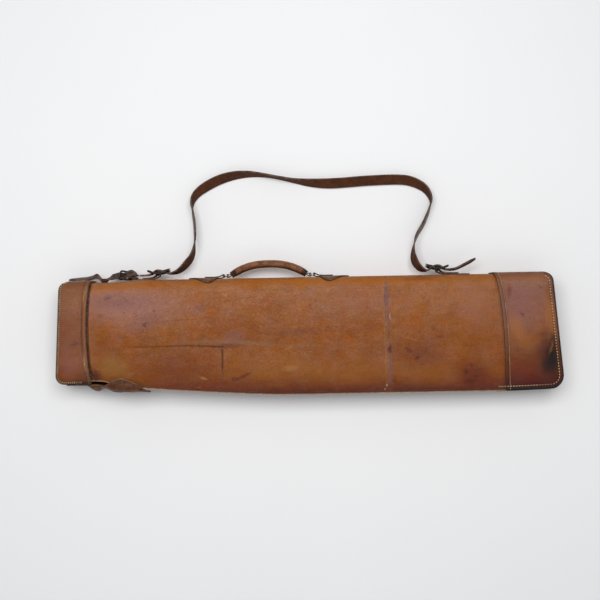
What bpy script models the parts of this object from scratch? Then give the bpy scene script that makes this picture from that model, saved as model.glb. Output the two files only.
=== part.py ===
"""A leather rod case: a flat tapering body with a cap lid, a rolled handle and a buckled shoulder strap.

The case lies on its back face. +X runs from the lid to the boot, +Y points to the handle side and +Z up
out of the front face. Sizes below are in millimetres and are turned into metres when a mesh is made.
"""

import math

import bmesh
import bpy
from mathutils import Matrix, Vector

MM = 0.001
GAP = 0.3  # air between pieces that touch

# Body
DEPTH = 70.0  # over the lid and the boot
LEATHER = 3.5  # the body's wrap
TOP = 91.6  # outer face of the handle side
NECK_TOP = 88.4  # the same face where the lid slides over it
BOTTOM = -96.8  # raw lower edges of the front and back panels
NECK_BOTTOM = -69.8
NECK_LEFT = -384.0
FOLD_RADIUS = 16.0  # the wrap's outer bend along the handle side
TAPER_START = -40.0  # the lower edge starts to rise towards the lid here
TAPER_RATE = 0.01238
TAPER_POWER = 1.3
TOE_START = 300.0  # the lower edge starts to rise towards the toe here
TOE_RISE = 3.0
TOE_LENGTH = 106.0
END_X = 400.9  # the toe's slanted end, where Y is 0
END_SLANT = -0.0917
TOE_TOP_RADIUS = 13.0
TOE_BOTTOM_RADIUS = 24.0
NECK_RADIUS = 24.0
CHANNEL = 8.0  # how far the gusset's web is set in from the raw edges
GUSSET_LEATHER = 3.0
GUSSET_SPLIT = 300.0  # the bottom gusset ends and the toe's gusset starts
WELT_THICKNESS = 1.4
WELT_GAP = 0.5  # air on each side of a welt, whose neighbours are curved
WELT_PROUD = 1.0
WELT_WIDTH = 6.0
LINING = 1.2
LINING_LEFT = -358.0

# Boot, the second leather over the toe
BOOT_LEATHER = 2.0
BOOT_EDGE = 314.5
BOOT_EDGE_CURVE = 14.5

# Lid
LID_LEATHER = 2.6
LID_CLEARANCE = 0.4
LID_TOP = 92.0
LID_BOTTOM = -74.0
LID_LEFT = -404.6  # where Y is 0
LID_SLANT = -0.05
LID_CORNER = 14.0
LID_MOUTH = -351.0
LID_BOW = 7.0
LID_WELT_PROUD = 0.6
LID_WELT_WIDTH = 3.0
LID_PIVOT = (-349.5, -76.0, 35.0)

# Hardware and straps lie along the middle of the handle side
MIDDLE = 35.0
STRAP_WIDTH = 19.0
STRAP_THICKNESS = 2.6
TAB_THICKNESS = 1.6
CHAPE_WIDTH = 17.0
WIRE = 1.6  # radius of the buckles' wire
PRONG = 1.1  # radius of a prong's wire
BAR_PLAY = 0.25  # between a bar and the leather or the prong round it
LID_BUCKLE_BAR = (-290.0, 96.4)
LID_BUCKLE_LENGTH = 17.0
LID_BUCKLE_WIDTH = 25.0
SLING_BUCKLE_BARS = {"left": (-243.5, 102.0), "right": (211.8, 102.0)}
SLING_BUCKLE_HALF = 16.8
SLING_BUCKLE_WIDTH = 27.0
SLING_BUCKLE_DISH = 4.5  # the end bars stand this much higher than the centre bar
PRONG_SLOT = 3.6

# Handle
HANDLE_MIDDLE = -63.5
HANDLE_HALF = 61.5  # from the middle to where the rolled cover ends
HANDLE_BASE = 97.4
HANDLE_RISE = 17.6
HANDLE_POWER = 2.4
HANDLE_RADIUS = 6.0
HANDLE_BORE = 4.0
LINK_WIRE = 1.3
LINK_LENGTH = 7.6
LINK_WIDTH = 12.6
LINK_Y = 96.2
LINK_PLAY = 0.5  # between a link's bar and the leather round it
LINK_INNER = 67.0  # from the handle's middle to the link bar that it hangs on
HANDLE_LOOP_WIDTH = 5.6
HANDLE_CHAPE_NARROW = 9.0
HANDLE_LEAF_START = 5.0  # from the link's outer bar to where the chape starts to widen
HANDLE_LEAF_END = 56.0
HANDLE_LEAF_HALF = 35.0  # along the handle side and over its folds
HANDLE_LEAF_SHORT = 6.0  # how much less it reaches round the back
FOLD_AIR = 1.5  # more air under a leaf where both it and the fold have flat facets

STRAP_PIVOT = (-16.0, 99.0, 35.0)
TIP_WIDTH = 7.0  # a strap's width at its cut point

# Leather loop on the body that holds the closing strap down beside the lid's mouth
KEEPER_X = -333.0
KEEPER_HALF_WIDTH = 3.2
KEEPER_TOP = 95.2
KEEPER_LEATHER = 1.4
KEEPER_CORNER = 2.0

# Stiffeners inside
BOARD_MARGIN = 9.0  # between a board's long edges and the case's front and back
TOE_BOARD_INSET = 15.0
TOE_BOARD_THICKNESS = 2.5
TOE_BOARD_SPAN = (-68.0, 70.0)
LID_BOARD_INSET = 5.0
LID_BOARD_THICKNESS = 2.0
LID_BOARD_SPAN = (-58.0, 74.0)
DIVIDER_X = (-345.0, 370.0)
DIVIDER_Y = (1.5, 6.5)

# The shoulder strap's centre line: X, Y, Z and how far its upper edge leans out of the loop, in degrees.
SHOULDER_ROUTE = [
    (-274.0, 99.2, 35.0, 0),
    (-268.0, 99.3, 35.0, 0),
    (-261.0, 99.8, 35.0, 0),
    (-254.0, 102.0, 35.0, 0),
    (-247.0, 107.0, 35.0, 0),
    (-240.0, 107.0, 35.0, 0),
    (-232.0, 103.0, 35.0, 0),
    (-222.0, 102.0, 35.0, 5),
    (-209.0, 107.0, 34.0, 18),
    (-197.0, 119.0, 31.5, 26),
    (-188.5, 133.0, 28.5, 14),
    (-185.0, 156.0, 24.0, -8),
    (-185.5, 182.0, 19.0, -12),
    (-188.5, 204.0, 15.0, -8),
    (-189.5, 218.0, 12.5, 8),
    (-183.5, 232.0, 10.5, 28),
    (-168.0, 245.0, 9.0, 42),
    (-143.0, 257.5, 8.5, 44),
    (-118.0, 264.0, 8.5, 34),
    (-93.0, 265.5, 9.0, 20),
    (-68.0, 263.0, 9.5, 8),
    (-43.0, 258.2, 9.8, 6),
    (-18.0, 253.0, 9.8, 14),
    (7.0, 249.5, 9.5, 32),
    (32.0, 248.0, 9.0, 46),
    (57.0, 248.5, 8.5, 50),
    (107.0, 251.5, 8.5, 50),
    (157.0, 252.0, 8.5, 48),
    (181.0, 246.5, 9.0, 42),
    (198.0, 235.5, 10.0, 26),
    (206.5, 220.0, 11.5, 6),
    (205.0, 206.0, 13.5, -8),
    (194.5, 180.0, 17.5, -16),
    (181.0, 157.0, 21.5, -14),
    (174.5, 134.0, 26.0, 4),
    (176.0, 116.0, 30.0, 26),
    (184.0, 103.5, 33.0, 22),
    (193.0, 99.3, 34.6, 6),
    (200.0, 101.3, 35.0, 0),
    (207.0, 106.6, 35.0, 0),
    (212.0, 107.4, 35.0, 0),
    (217.0, 106.2, 35.0, 0),
    (225.0, 100.8, 35.0, 0),
    (241.0, 101.2, 35.0, 8),
    (258.0, 108.5, 35.0, 12),
    (275.0, 117.3, 35.0, 12),
]
CLOSING_ROUTE = [
    (-389.0, 93.7),
    (-365.0, 93.8),
    (-354.0, 95.2),
    (-346.5, 98.7),
    (-341.0, 96.4),
    (-337.0, 92.2),
    (-333.0, 91.7),
    (-329.0, 92.2),
    (-325.0, 95.8),
    (-319.5, 98.6),
    (-312.0, 97.8),
    (-305.0, 95.4),
    (-299.0, 97.4),
    (-293.0, 101.2),
    (-287.0, 101.8),
    (-281.0, 100.0),
    (-277.0, 98.4),
]
# How the closing strap and its buckle lean their front edge towards the case: X, degrees and rise
CLOSING_POSES = [
    (-389.0, 6.0, 0.9),
    (-365.0, 12.0, 1.9),
    (-354.0, 18.0, 1.8),
    (-346.5, 24.0, 0.6),
    (-338.0, 0.0, 0.0),
    (-328.0, 0.0, 0.0),
    (-319.5, 26.0, -0.5),
    (-309.0, 30.0, 2.4),
    (-288.6, 30.0, 2.4),
    (-283.5, 14.0, 2.0),
    (-278.4, 0.0, 0.4),
]
# The hinge strap's front edge, the corner that it bends round and its back edge: X, then Y and Z of each
HINGE_ROUTE = [
    (-392.0, -75.7, 59.0, -75.7, 36.0, -75.7, 13.0),
    (-372.0, -75.7, 59.0, -75.7, 36.0, -75.7, 13.0),
    (-361.0, -75.9, 61.0, -78.4, 37.0, -76.0, 13.0),
    (-352.0, -75.9, 62.5, -91.5, 48.0, -75.4, 14.0),
    (-343.0, -75.2, 63.5, -98.0, 52.0, -75.0, 15.0),
    (-335.0, -76.2, 66.5, -90.0, 54.0, -76.0, 17.0),
    (-327.0, -75.8, 72.4, -86.5, 68.0, -80.4, 19.0),
    (-318.0, -70.8, 74.0, -91.5, 78.0, -87.2, 22.0),
    (-309.0, -67.0, 73.4, -93.5, 83.0, -88.0, 24.0),
    (-301.0, -65.6, 72.8, -95.0, 87.0, -86.0, 26.0),
    (-293.0, -68.2, 72.8, -95.0, 86.5, -85.6, 30.0),
    (-283.0, -72.6, 72.8, -94.0, 84.0, -86.2, 32.0),
    (-270.0, -78.6, 73.2, -91.0, 78.0, -87.4, 34.0),
    (-258.0, -85.6, 70.0, -90.0, 66.0, -88.8, 36.0),
]
HINGE_TIP = 0.42

PARTS = bpy.data.collections.new("rod_case")
CUTTERS = bpy.data.collections.new("cutters")


# ---------------------------------------------------------------- helpers


def clear_scene():
    for item in list(bpy.data.objects):
        bpy.data.objects.remove(item)
    for collection in (PARTS, CUTTERS):
        bpy.context.scene.collection.children.link(collection)


def material(name, colour, roughness, metallic=0.0):
    made = bpy.data.materials.new(name)
    made.use_nodes = True
    shader = made.node_tree.nodes["Principled BSDF"]
    shader.inputs["Base Color"].default_value = (*colour, 1.0)
    shader.inputs["Roughness"].default_value = roughness
    shader.inputs["Metallic"].default_value = metallic
    return made


def smooth(low, high, value):
    t = min(1.0, max(0.0, (value - low) / (high - low)))
    return t * t * (3 - 2 * t)


def mix(a, b, t):
    return a + (b - a) * t


def register(item, coat, cutter=False):
    """Put a made object in its collection with its own material."""
    (CUTTERS if cutter else PARTS).objects.link(item)
    if cutter:
        item.hide_render = True
        item.display_type = "WIRE"
        return item
    item.data.materials.append(coat)
    return item


def mesh_object(name, mesh, coat, cutter=False):
    """Scale a bmesh from millimetres, make it an object and shade it smooth away from its edges."""
    bmesh.ops.recalc_face_normals(mesh, faces=mesh.faces[:])
    bmesh.ops.scale(mesh, vec=(MM, MM, MM), verts=mesh.verts[:])
    data = bpy.data.meshes.new(name)
    mesh.to_mesh(data)
    mesh.free()
    data.shade_smooth()
    data.set_sharp_from_angle(angle=math.radians(35))
    return register(bpy.data.objects.new(name, data), coat, cutter)


def formed_sheet(name, columns, rows, place, coat, closed=False):
    """A sheet of leather: a grid shaped by place(column, row, layer), thickened from layer 0 to layer 1.

    A closed sheet has its first row joined to its last one, which makes a sleeve.
    """
    mesh = bmesh.new()
    column = mesh.verts.layers.int.new("column")
    row = mesh.verts.layers.int.new("row")
    bmesh.ops.create_grid(mesh, x_segments=columns, y_segments=rows, size=0.5)
    for vertex in mesh.verts:
        vertex[column] = round((vertex.co.x + 0.5) * columns)
        vertex[row] = round((vertex.co.y + 0.5) * rows)
        vertex.co = place(vertex[column], vertex[row], 0)
    if closed:
        bmesh.ops.remove_doubles(mesh, verts=mesh.verts[:], dist=1e-4)
    grown = bmesh.ops.extrude_face_region(mesh, geom=mesh.faces[:], use_keep_orig=True)
    for vertex in grown["geom"]:
        if isinstance(vertex, bmesh.types.BMVert):
            vertex.co = place(vertex[column], vertex[row], 1)
    return mesh_object(name, mesh, coat)


def box_cutter(name, low, high):
    mesh = bmesh.new()
    bmesh.ops.create_cube(mesh, size=1.0)
    for vertex in mesh.verts:
        vertex.co = [mix(low[k], high[k], vertex.co[k] + 0.5) for k in range(3)]
    return mesh_object(name, mesh, None, cutter=True)


def cut(item, cutter):
    change = item.modifiers.new(cutter.name, "BOOLEAN")
    change.operation = "DIFFERENCE"
    change.solver = "EXACT"
    change.object = cutter


def wire(name, points, radius, coat, cyclic=False):
    """A bent round wire through the points."""
    data = bpy.data.curves.new(name, "CURVE")
    data.dimensions = "3D"
    data.bevel_depth = radius * MM
    data.bevel_resolution = 2
    data.use_fill_caps = True
    spline = data.splines.new("POLY")
    spline.points.add(len(points) - 1)
    for knot, point in zip(spline.points, points):
        knot.co = (*(c * MM for c in point), 1.0)
    spline.use_cyclic_u = cyclic
    return register(bpy.data.objects.new(name, data), coat)


def as_mesh(item):
    """Turn a curve object into a mesh object with welded caps."""
    graph = bpy.context.evaluated_depsgraph_get()
    data = bpy.data.meshes.new_from_object(item.evaluated_get(graph))
    mesh = bmesh.new()
    mesh.from_mesh(data)
    bmesh.ops.remove_doubles(mesh, verts=mesh.verts[:], dist=1e-6)
    mesh.to_mesh(data)
    mesh.free()
    data.shade_smooth()
    made = bpy.data.objects.new(item.name + "_mesh", data)
    made.matrix_world = item.matrix_world
    PARTS.objects.link(made)
    name = item.name
    bpy.data.objects.remove(item)
    made.name = name
    return made


def between_knots(p, q, r, s, t):
    """The Catmull-Rom value between q and r, with p before and s after them."""
    square = (2 * p - 5 * q + 4 * r - s) * t**2
    cube = (3 * q - p - 3 * r + s) * t**3
    return 0.5 * (2 * q + (r - p) * t + square + cube)


def spline_points(knots, steps):
    """A Catmull-Rom curve through the knots, with the given number of steps between each pair."""
    padded = [knots[0]] + list(knots) + [knots[-1]]
    found = []
    for around in zip(padded, padded[1:], padded[2:], padded[3:]):
        for k in range(steps):
            found.append(tuple(between_knots(*values, k / steps) for values in zip(*around)))
    found.append(tuple(float(value) for value in knots[-1]))
    return found


def side_normals(path):
    """The left-hand unit normal, in plan, at each point of a path."""
    found = []
    for before, after in zip([path[0]] + path[:-1], path[1:] + [path[-1]]):
        ahead = Vector((after[0] - before[0], after[1] - before[1]))
        ahead.normalize()
        found.append(Vector((-ahead.y, ahead.x)))
    return found


def ribbon(name, path, width, thickness, coat, turn=None):
    """A strap along a path in plan, standing on edge round MIDDLE. width(share) tapers it."""
    normals = side_normals(path)
    last = len(path) - 1

    def place(column, row, layer):
        x, y = path[column][:2]
        side = normals[column] * (layer - 0.5) * thickness
        half = width(column / last) / 2
        point = (x + side.x, y + side.y, MIDDLE + mix(-half, half, row / 2))
        return turn(*point) if turn else point

    return formed_sheet(name, last, 2, place, coat)


def arc(centre, radius, start, end, steps):
    """Points on an arc in plan, from one angle to another, in degrees."""
    angles = [math.radians(mix(start, end, k / steps)) for k in range(steps + 1)]
    return [(centre[0] + radius * math.cos(a), centre[1] + radius * math.sin(a)) for a in angles]


def pivot_empty(name, place, above=None):
    empty = bpy.data.objects.new(name, None)
    empty.empty_display_size = 0.02
    PARTS.objects.link(empty)
    offset = Vector(above.location) if above else Vector()
    empty.location = Vector(place) * MM - offset
    empty.parent = above
    empty["place"] = [c * MM for c in place]
    return empty


def hang_on(pivot, *items):
    """Parent pieces to the empty on their joint's axis, and move their mesh's origin there."""
    place = Vector(pivot["place"])
    for item in items:
        item.data.transform(Matrix.Translation(-place))
        item.parent = pivot


# ---------------------------------------------------------------- outlines


def body_top(x):
    return mix(NECK_TOP, TOP, smooth(-325, -265, x))


def body_bottom(x):
    taper = TAPER_RATE * max(0.0, TAPER_START - x) ** TAPER_POWER
    toe = TOE_RISE * (max(0.0, x - TOE_START) / TOE_LENGTH) ** 1.5
    return mix(BOTTOM + taper + toe, NECK_BOTTOM, smooth(-300, -338, x))


def body_lower(x):
    """The wrap's outer back face: lifted by the lid's and the boot's leather, and on the ground between."""
    lid_lift = LID_LEATHER + LID_CLEARANCE
    boot_lift = BOOT_LEATHER + GAP
    return lid_lift * smooth(-270, -330, x) + boot_lift * smooth(230, 290, x)


def rounding(distance, radius):
    """How far a corner of the given radius is cut back at a distance from the side."""
    if distance >= radius:
        return 0.0
    return radius - math.sqrt(max(0.0, radius**2 - (radius - distance) ** 2))


def toe_edge(y, top=TOP):
    low = body_bottom(TOE_START + TOE_LENGTH * 0.8)
    cut_back = max(rounding(top - y, TOE_TOP_RADIUS), rounding(y - low, TOE_BOTTOM_RADIUS))
    return END_X + END_SLANT * y - cut_back


def neck_edge(y):
    cut_back = max(rounding(NECK_TOP - y, NECK_RADIUS), rounding(y - NECK_BOTTOM, NECK_RADIUS))
    return NECK_LEFT + cut_back


def boot_edge(y):
    return BOOT_EDGE - BOOT_EDGE_CURVE * max(0.0, (y - BOTTOM) / (TOP - BOTTOM)) ** 3.5


def lid_end(y):
    cut_back = max(rounding(LID_TOP - y, LID_CORNER), rounding(y - LID_BOTTOM, LID_CORNER))
    return LID_LEFT - LID_SLANT * y + cut_back


def lid_mouth(y):
    middle = (LID_TOP + LID_BOTTOM) / 2
    half = (LID_TOP - LID_BOTTOM) / 2
    return LID_MOUTH - LID_BOW * (1 - ((y - middle) / half) ** 2)


def panel_rows(low, high, radius):
    """Heights up a panel, close together in its two rounded corners."""
    corner = [radius * (1 - math.cos(math.radians(90 * k / 5))) for k in range(6)]
    middle = [mix(low + radius, high, k / 4) for k in range(1, 5)]
    return [low + c for c in corner] + middle


def wrap_section(low, top, lower, upper, inset, radius, corner):
    """A C-shaped section (Y, Z): up the front panel, over the folded side and down the back panel."""
    bend = radius - inset
    rows = panel_rows(low, top - radius, corner)
    steps = 5
    angles = [math.radians(90 * k / steps) for k in range(steps + 1)]
    high, deep = upper - inset, lower + inset
    crest = top - radius
    front = [(y, high) for y in rows[:-1]]
    over = [(crest + bend * math.sin(a), high - bend + bend * math.cos(a)) for a in angles]
    under = [(crest + bend * math.sin(a), deep + bend - bend * math.cos(a)) for a in reversed(angles)]
    back = [(y, deep) for y in reversed(rows[:-1])]
    return front + over + under + back


def spaced(stops, steps):
    """Shares along a sheet, with the given steps between each pair of stops."""
    found = []
    for (a, b), count in zip(zip(stops, stops[1:]), steps):
        found += [mix(a, b, k / count) for k in range(count)]
    return found + [stops[-1]]


def wrap_sheet(name, shares, left, right, outline, thickness, radius, corner, coat):
    """A wrap between two edges given as X over Y. outline(x) gives its low, top, lower and upper."""
    nominal = [mix(left(0), right(0), share) for share in shares]
    guides = [wrap_section(*outline(x), 0.0, radius, corner) for x in nominal]

    def place(column, row, layer):
        guide = guides[column][row][0]
        x = mix(left(guide), right(guide), shares[column])
        y, z = wrap_section(*outline(x), thickness * layer, radius, corner)[row]
        return (x, y, z)

    return formed_sheet(name, len(shares) - 1, len(guides[0]) - 1, place, coat)


def inner_face(lift, top, y, leather, radius):
    """Z of a wrap's inner back face at this height: flat, then turning up inside the fold."""
    bend = radius - leather
    climb = min(max(0.0, y - (top - radius)), bend)
    return lift + leather + bend - math.sqrt(bend**2 - climb**2)


def rim_strip(name, rim, section, ceiling, face, coat):
    """A strip that follows a rim in plan.

    section(share) lists (inset, gap) for the outer and the inner layer: how far in from the rim each point
    lies, and how far from the wrap's inner face. ceiling caps Y, and face(x, y) is the back inner face.
    """
    normals = side_normals(rim)
    last = len(rim) - 1

    def place(column, row, layer):
        points = section(column / last)[layer]
        count = len(points)
        inset, gap = points[row] if row < count else points[2 * count - 1 - row]
        side = normals[column] * inset
        x, y = rim[column][0] + side.x, rim[column][1] + side.y
        y = min(y, ceiling(x))
        z = face(x, y) + gap
        return (x, y, z if row < count else DEPTH - z)

    rows = 2 * len(section(0)[0]) - 1
    return formed_sheet(name, last, rows, place, coat)


# ---------------------------------------------------------------- body pieces


def body_outline(x):
    lower = body_lower(x)
    return body_bottom(x), body_top(x), lower, DEPTH - lower


def body_face(x, y):
    return inner_face(body_lower(x), body_top(x), y, LEATHER, FOLD_RADIUS)


def body_ceiling(x):
    return body_top(x) - LEATHER - GAP


def make_body_wrap(coat):
    shares = spaced([0, 0.03, 0.07, 0.18, 0.78, 0.87, 0.94, 1.0], [2, 4, 6, 6, 5, 1, 1])
    edges = (neck_edge, toe_edge)
    wrap_sheet("body_wrap", shares, *edges, body_outline, LEATHER, FOLD_RADIUS, TOE_BOTTOM_RADIUS, coat)


def channel_section(web):
    """A gusset: flanges along both panels' inner faces and a web between them, set in from the rim."""
    start = WELT_THICKNESS + 2.5 * WELT_GAP
    tip = 0.5

    def section(share):
        depth = web(share)
        outer = [(tip, start), (depth + GUSSET_LEATHER, start)]
        inner = [(tip, start + GUSSET_LEATHER), (depth, start + GUSSET_LEATHER)]
        return outer, inner

    return section


def bottom_rim(first, last, steps):
    return [(x, body_bottom(x)) for x in (mix(first, last, k / steps) for k in range(steps + 1))]


def toe_rim():
    """Along the bottom, round the toe's lower corner, up its end and over its upper corner."""
    low = body_bottom(TOE_START + TOE_LENGTH * 0.8)
    start = GUSSET_SPLIT + GAP
    along = [(x, body_bottom(x)) for x in (start, start + 25, start + 50)]
    heights = panel_rows(low, TOP - TOE_TOP_RADIUS, TOE_BOTTOM_RADIUS)
    crown = [TOP - TOE_TOP_RADIUS * (1 - math.sin(math.radians(90 * k / 5))) for k in range(1, 6)]
    end = [(toe_edge(y), y) for y in heights + crown]
    return along + end + [(end[-1][0] - 7.0, TOP)]


def toe_web(share):
    """The toe's web is set in like the bottom's, and rises to close under the fold at its upper corner."""
    return mix(CHANNEL, LEATHER + 2 * GAP, smooth(0.72, 0.9, share))


def make_gussets(coat):
    bottom = bottom_rim(NECK_LEFT + NECK_RADIUS, GUSSET_SPLIT, 22)
    section = channel_section(lambda share: CHANNEL)
    rim_strip("bottom_gusset", bottom, section, body_ceiling, body_face, coat)
    section = channel_section(toe_web)
    rim_strip("toe_gusset", toe_rim(), section, body_ceiling, body_face, coat)


def make_welt(name, rim, proud, width, ceiling, face, front, coat):
    """A thin strip caught in the seam, standing a little proud of the raw edges."""
    normals = side_normals(rim)

    def place(column, row, layer):
        side = normals[column] * mix(-proud, width, row)
        x, y = rim[column][0] + side.x, rim[column][1] + side.y
        y = min(y, ceiling(x) - GAP)
        z = face(x, y) + WELT_GAP + layer * WELT_THICKNESS
        return (x, y, DEPTH - z if front else z)

    return formed_sheet(name, len(rim) - 1, 1, place, coat)


def make_boot(coat):
    grow = BOOT_LEATHER + GAP

    def outline(x):
        return body_bottom(x), TOP + grow, 0.0, DEPTH

    def right(y):
        return toe_edge(y, TOP + grow)

    shares = spaced([0, 0.4, 1.0], [2, 2])
    fold = FOLD_RADIUS + grow
    wrap_sheet("toe_boot", shares, boot_edge, right, outline, BOOT_LEATHER, fold, TOE_BOTTOM_RADIUS, coat)


def make_toe_board(coat):
    def place(column, row, layer):
        y = mix(*TOE_BOARD_SPAN, column)
        z = mix(BOARD_MARGIN, DEPTH - BOARD_MARGIN, row)
        return (END_X + END_SLANT * y - TOE_BOARD_INSET - TOE_BOARD_THICKNESS * layer, y, z)

    formed_sheet("toe_board", 1, 1, place, coat)


def make_lining(coat):
    shares = spaced([0, 0.05, 0.14, 0.8, 0.9, 1.0], [2, 4, 5, 4, 1])
    air = 0.5
    floor_air = 3.0  # more than air, because the gusset climbs steeply at the neck
    right = END_X - 21.0
    low_corner = 4.0

    def section(x, inset):
        """A closed ring (Y, Z) inside the wrap and above the gusset's web."""
        top = body_top(x) - LEATHER - air - inset
        low = body_bottom(x) + CHANNEL + GUSSET_LEATHER + floor_air + inset
        deep = body_lower(x) + LEATHER + air + inset
        high = DEPTH - deep
        bend = FOLD_RADIUS - LEATHER - air - inset
        corner = low_corner - inset
        ring = []
        for y, z, radius, start in (
            (top - bend, high - bend, bend, 0),
            (low + corner, high - corner, corner, 90),
            (low + corner, deep + corner, corner, 180),
            (top - bend, deep + bend, bend, 270),
        ):
            for k in range(5):
                angle = math.radians(start + 90 * k / 4)
                ring.append((y + radius * math.cos(angle), z + radius * math.sin(angle)))
        return ring + [ring[0]]

    xs = [mix(LINING_LEFT, right, share) for share in shares]
    guides = [section(x, 0.0) for x in xs]

    def place(column, row, layer):
        guide = guides[column][row][0]
        x = xs[column] + END_SLANT * guide * shares[column]
        y, z = section(x, LINING * layer)[row]
        return (x, y, z)

    formed_sheet("body_lining", len(shares) - 1, len(guides[0]) - 1, place, coat, closed=True)


def make_divider(coat):
    def place(column, row, layer):
        z = mix(BOARD_MARGIN, DEPTH - BOARD_MARGIN, row)
        return (mix(*DIVIDER_X, column), mix(*DIVIDER_Y, layer), z)

    formed_sheet("divider", 1, 1, place, coat)


def make_body(leather, dark_leather, cloth, board):
    make_body_wrap(leather("body_wrap"))
    make_gussets(leather("gusset"))
    for side, front in (("front", True), ("back", False)):
        name = f"toe_welt_{side}"
        size = (WELT_PROUD, WELT_WIDTH)
        make_welt(name, toe_rim(), *size, body_ceiling, body_face, front, dark_leather(name))
    make_boot(leather("toe_boot"))
    make_toe_board(board)
    make_lining(cloth)
    make_divider(board)


# ---------------------------------------------------------------- lid


def lid_outline(x):
    return LID_BOTTOM, LID_TOP, 0.0, DEPTH


def lid_face(x, y):
    return inner_face(0.0, LID_TOP, y, LID_LEATHER, FOLD_RADIUS)


def lid_ceiling(x):
    return LID_TOP - LID_LEATHER - GAP


def lid_rim():
    """From the lid's upper corner, down its end, round the lower corner and along the bottom to the mouth."""
    crown = [LID_TOP - LID_CORNER * (1 - math.cos(math.radians(90 * k / 4))) for k in range(5)]
    heights = panel_rows(LID_BOTTOM, LID_TOP - LID_CORNER, LID_CORNER)
    end = [(lid_end(y), y) for y in crown + list(reversed(heights))[1:]]
    bottom = [(x, LID_BOTTOM) for x in (-380.0, -366.0, LID_MOUTH - 1.0)]
    return [(end[0][0] + 7.0, LID_TOP)] + end + bottom


def make_lid(leather):
    shares = spaced([0, 0.3, 1.0], [2, 3])
    coat = leather("lid_wrap")
    edges = (lid_end, lid_mouth)
    wrap = wrap_sheet("lid_wrap", shares, *edges, lid_outline, LID_LEATHER, FOLD_RADIUS, LID_CORNER, coat)
    web_thickness = 2.4
    start = WELT_THICKNESS + 2.5 * WELT_GAP

    def section(share):
        depth = mix(LID_LEATHER + 2 * GAP, 0.9, smooth(0.05, 0.3, share))
        outer = [(0.5, start), (depth + web_thickness, start)]
        inner = [(0.5, start + web_thickness), (depth, start + web_thickness)]
        return outer, inner

    return [wrap, rim_strip("lid_gusset", lid_rim(), section, lid_ceiling, lid_face, leather("lid_gusset"))]


def make_lid_board(board):
    def place(column, row, layer):
        y = mix(*LID_BOARD_SPAN, column)
        z = mix(BOARD_MARGIN, DEPTH - BOARD_MARGIN, row)
        return (LID_LEFT - LID_SLANT * y + LID_BOARD_INSET + LID_BOARD_THICKNESS * layer, y, z)

    return formed_sheet("lid_board", 1, 1, place, board)


# ---------------------------------------------------------------- straps


def tapered(full, tip, share_of_tip):
    """A strap's width: full, then drawn in to a rounded tip over the last share of its length."""

    def width(share):
        left = min(1.0, max(0.0, (share - (1 - share_of_tip)) / share_of_tip))
        return mix(full * math.sqrt(1 - left**2), tip, left)

    return width


def closing_pose(x):
    """(lean in radians, rise) of the closing strap at X."""
    for before, after in zip(CLOSING_POSES, CLOSING_POSES[1:]):
        if x < after[0]:
            share = smooth(before[0], after[0], x)
            return math.radians(mix(before[1], after[1], share)), mix(before[2], after[2], share)
    return math.radians(CLOSING_POSES[-1][1]), CLOSING_POSES[-1][2]


def leaned(x, y, z, at=None):
    """Turn a place on the closing strap about the line through its buckle's bar, as its pose is at X."""
    lean, rise = closing_pose(x if at is None else at)
    bar_y = LID_BUCKLE_BAR[1]
    up, out = y - bar_y, z - MIDDLE
    turned_up = up * math.cos(lean) - out * math.sin(lean)
    return (x, bar_y + rise + turned_up, MIDDLE + up * math.sin(lean) + out * math.cos(lean))


def leaned_with_buckle(x, y, z):
    return leaned(x, y, z, LID_BUCKLE_BAR[0])


def lean_cutter(cutter):
    """Turn a cutter with the lid's buckle."""
    for vertex in cutter.data.vertices:
        vertex.co = Vector(leaned_with_buckle(*(vertex.co / MM))) * MM
    return cutter


def make_closing_strap(coat):
    path = spline_points(CLOSING_ROUTE, 4)
    width = tapered(STRAP_WIDTH, TIP_WIDTH, 0.08)
    strap = ribbon("closing_strap", path, width, STRAP_THICKNESS, coat, turn=leaned)
    bar_x, bar_y = LID_BUCKLE_BAR
    slot = box_cutter(
        "closing_strap_hole",
        (bar_x - LID_BUCKLE_LENGTH - 4, bar_y - 8, MIDDLE - PRONG_SLOT / 2),
        (bar_x + 3.2, bar_y + 12, MIDDLE + PRONG_SLOT / 2),
    )
    cut(strap, lean_cutter(slot))
    return strap


def make_hinge_strap(coat):
    """The broad strap that hinges the lid, buckled into two waves, its front edge curled over the front."""
    knots = spline_points(HINGE_ROUTE, 3)
    width = tapered(1.0, HINGE_TIP, 0.1)
    last = len(knots) - 1
    rows = 8

    def middle(column, row):
        x, front_y, front_z, bend_y, bend_z, back_y, back_z = knots[column]
        share = (1 + (2 * row / rows - 1) * width(column / last)) / 2
        front, bend, back = (1 - share) ** 2, 2 * share * (1 - share), share**2
        y = front * front_y + bend * bend_y + back * back_y
        return Vector((x, y, front * front_z + bend * bend_z + back * back_z))

    def place(column, row, layer):
        along = middle(min(column + 1, last), row) - middle(max(column - 1, 0), row)
        across = middle(column, max(row - 1, 0)) - middle(column, min(row + 1, rows))
        face = across.cross(along).normalized()
        return middle(column, row) + face * (0.5 - layer) * STRAP_THICKNESS

    formed_sheet("hinge_strap", last, rows, place, coat)


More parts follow.
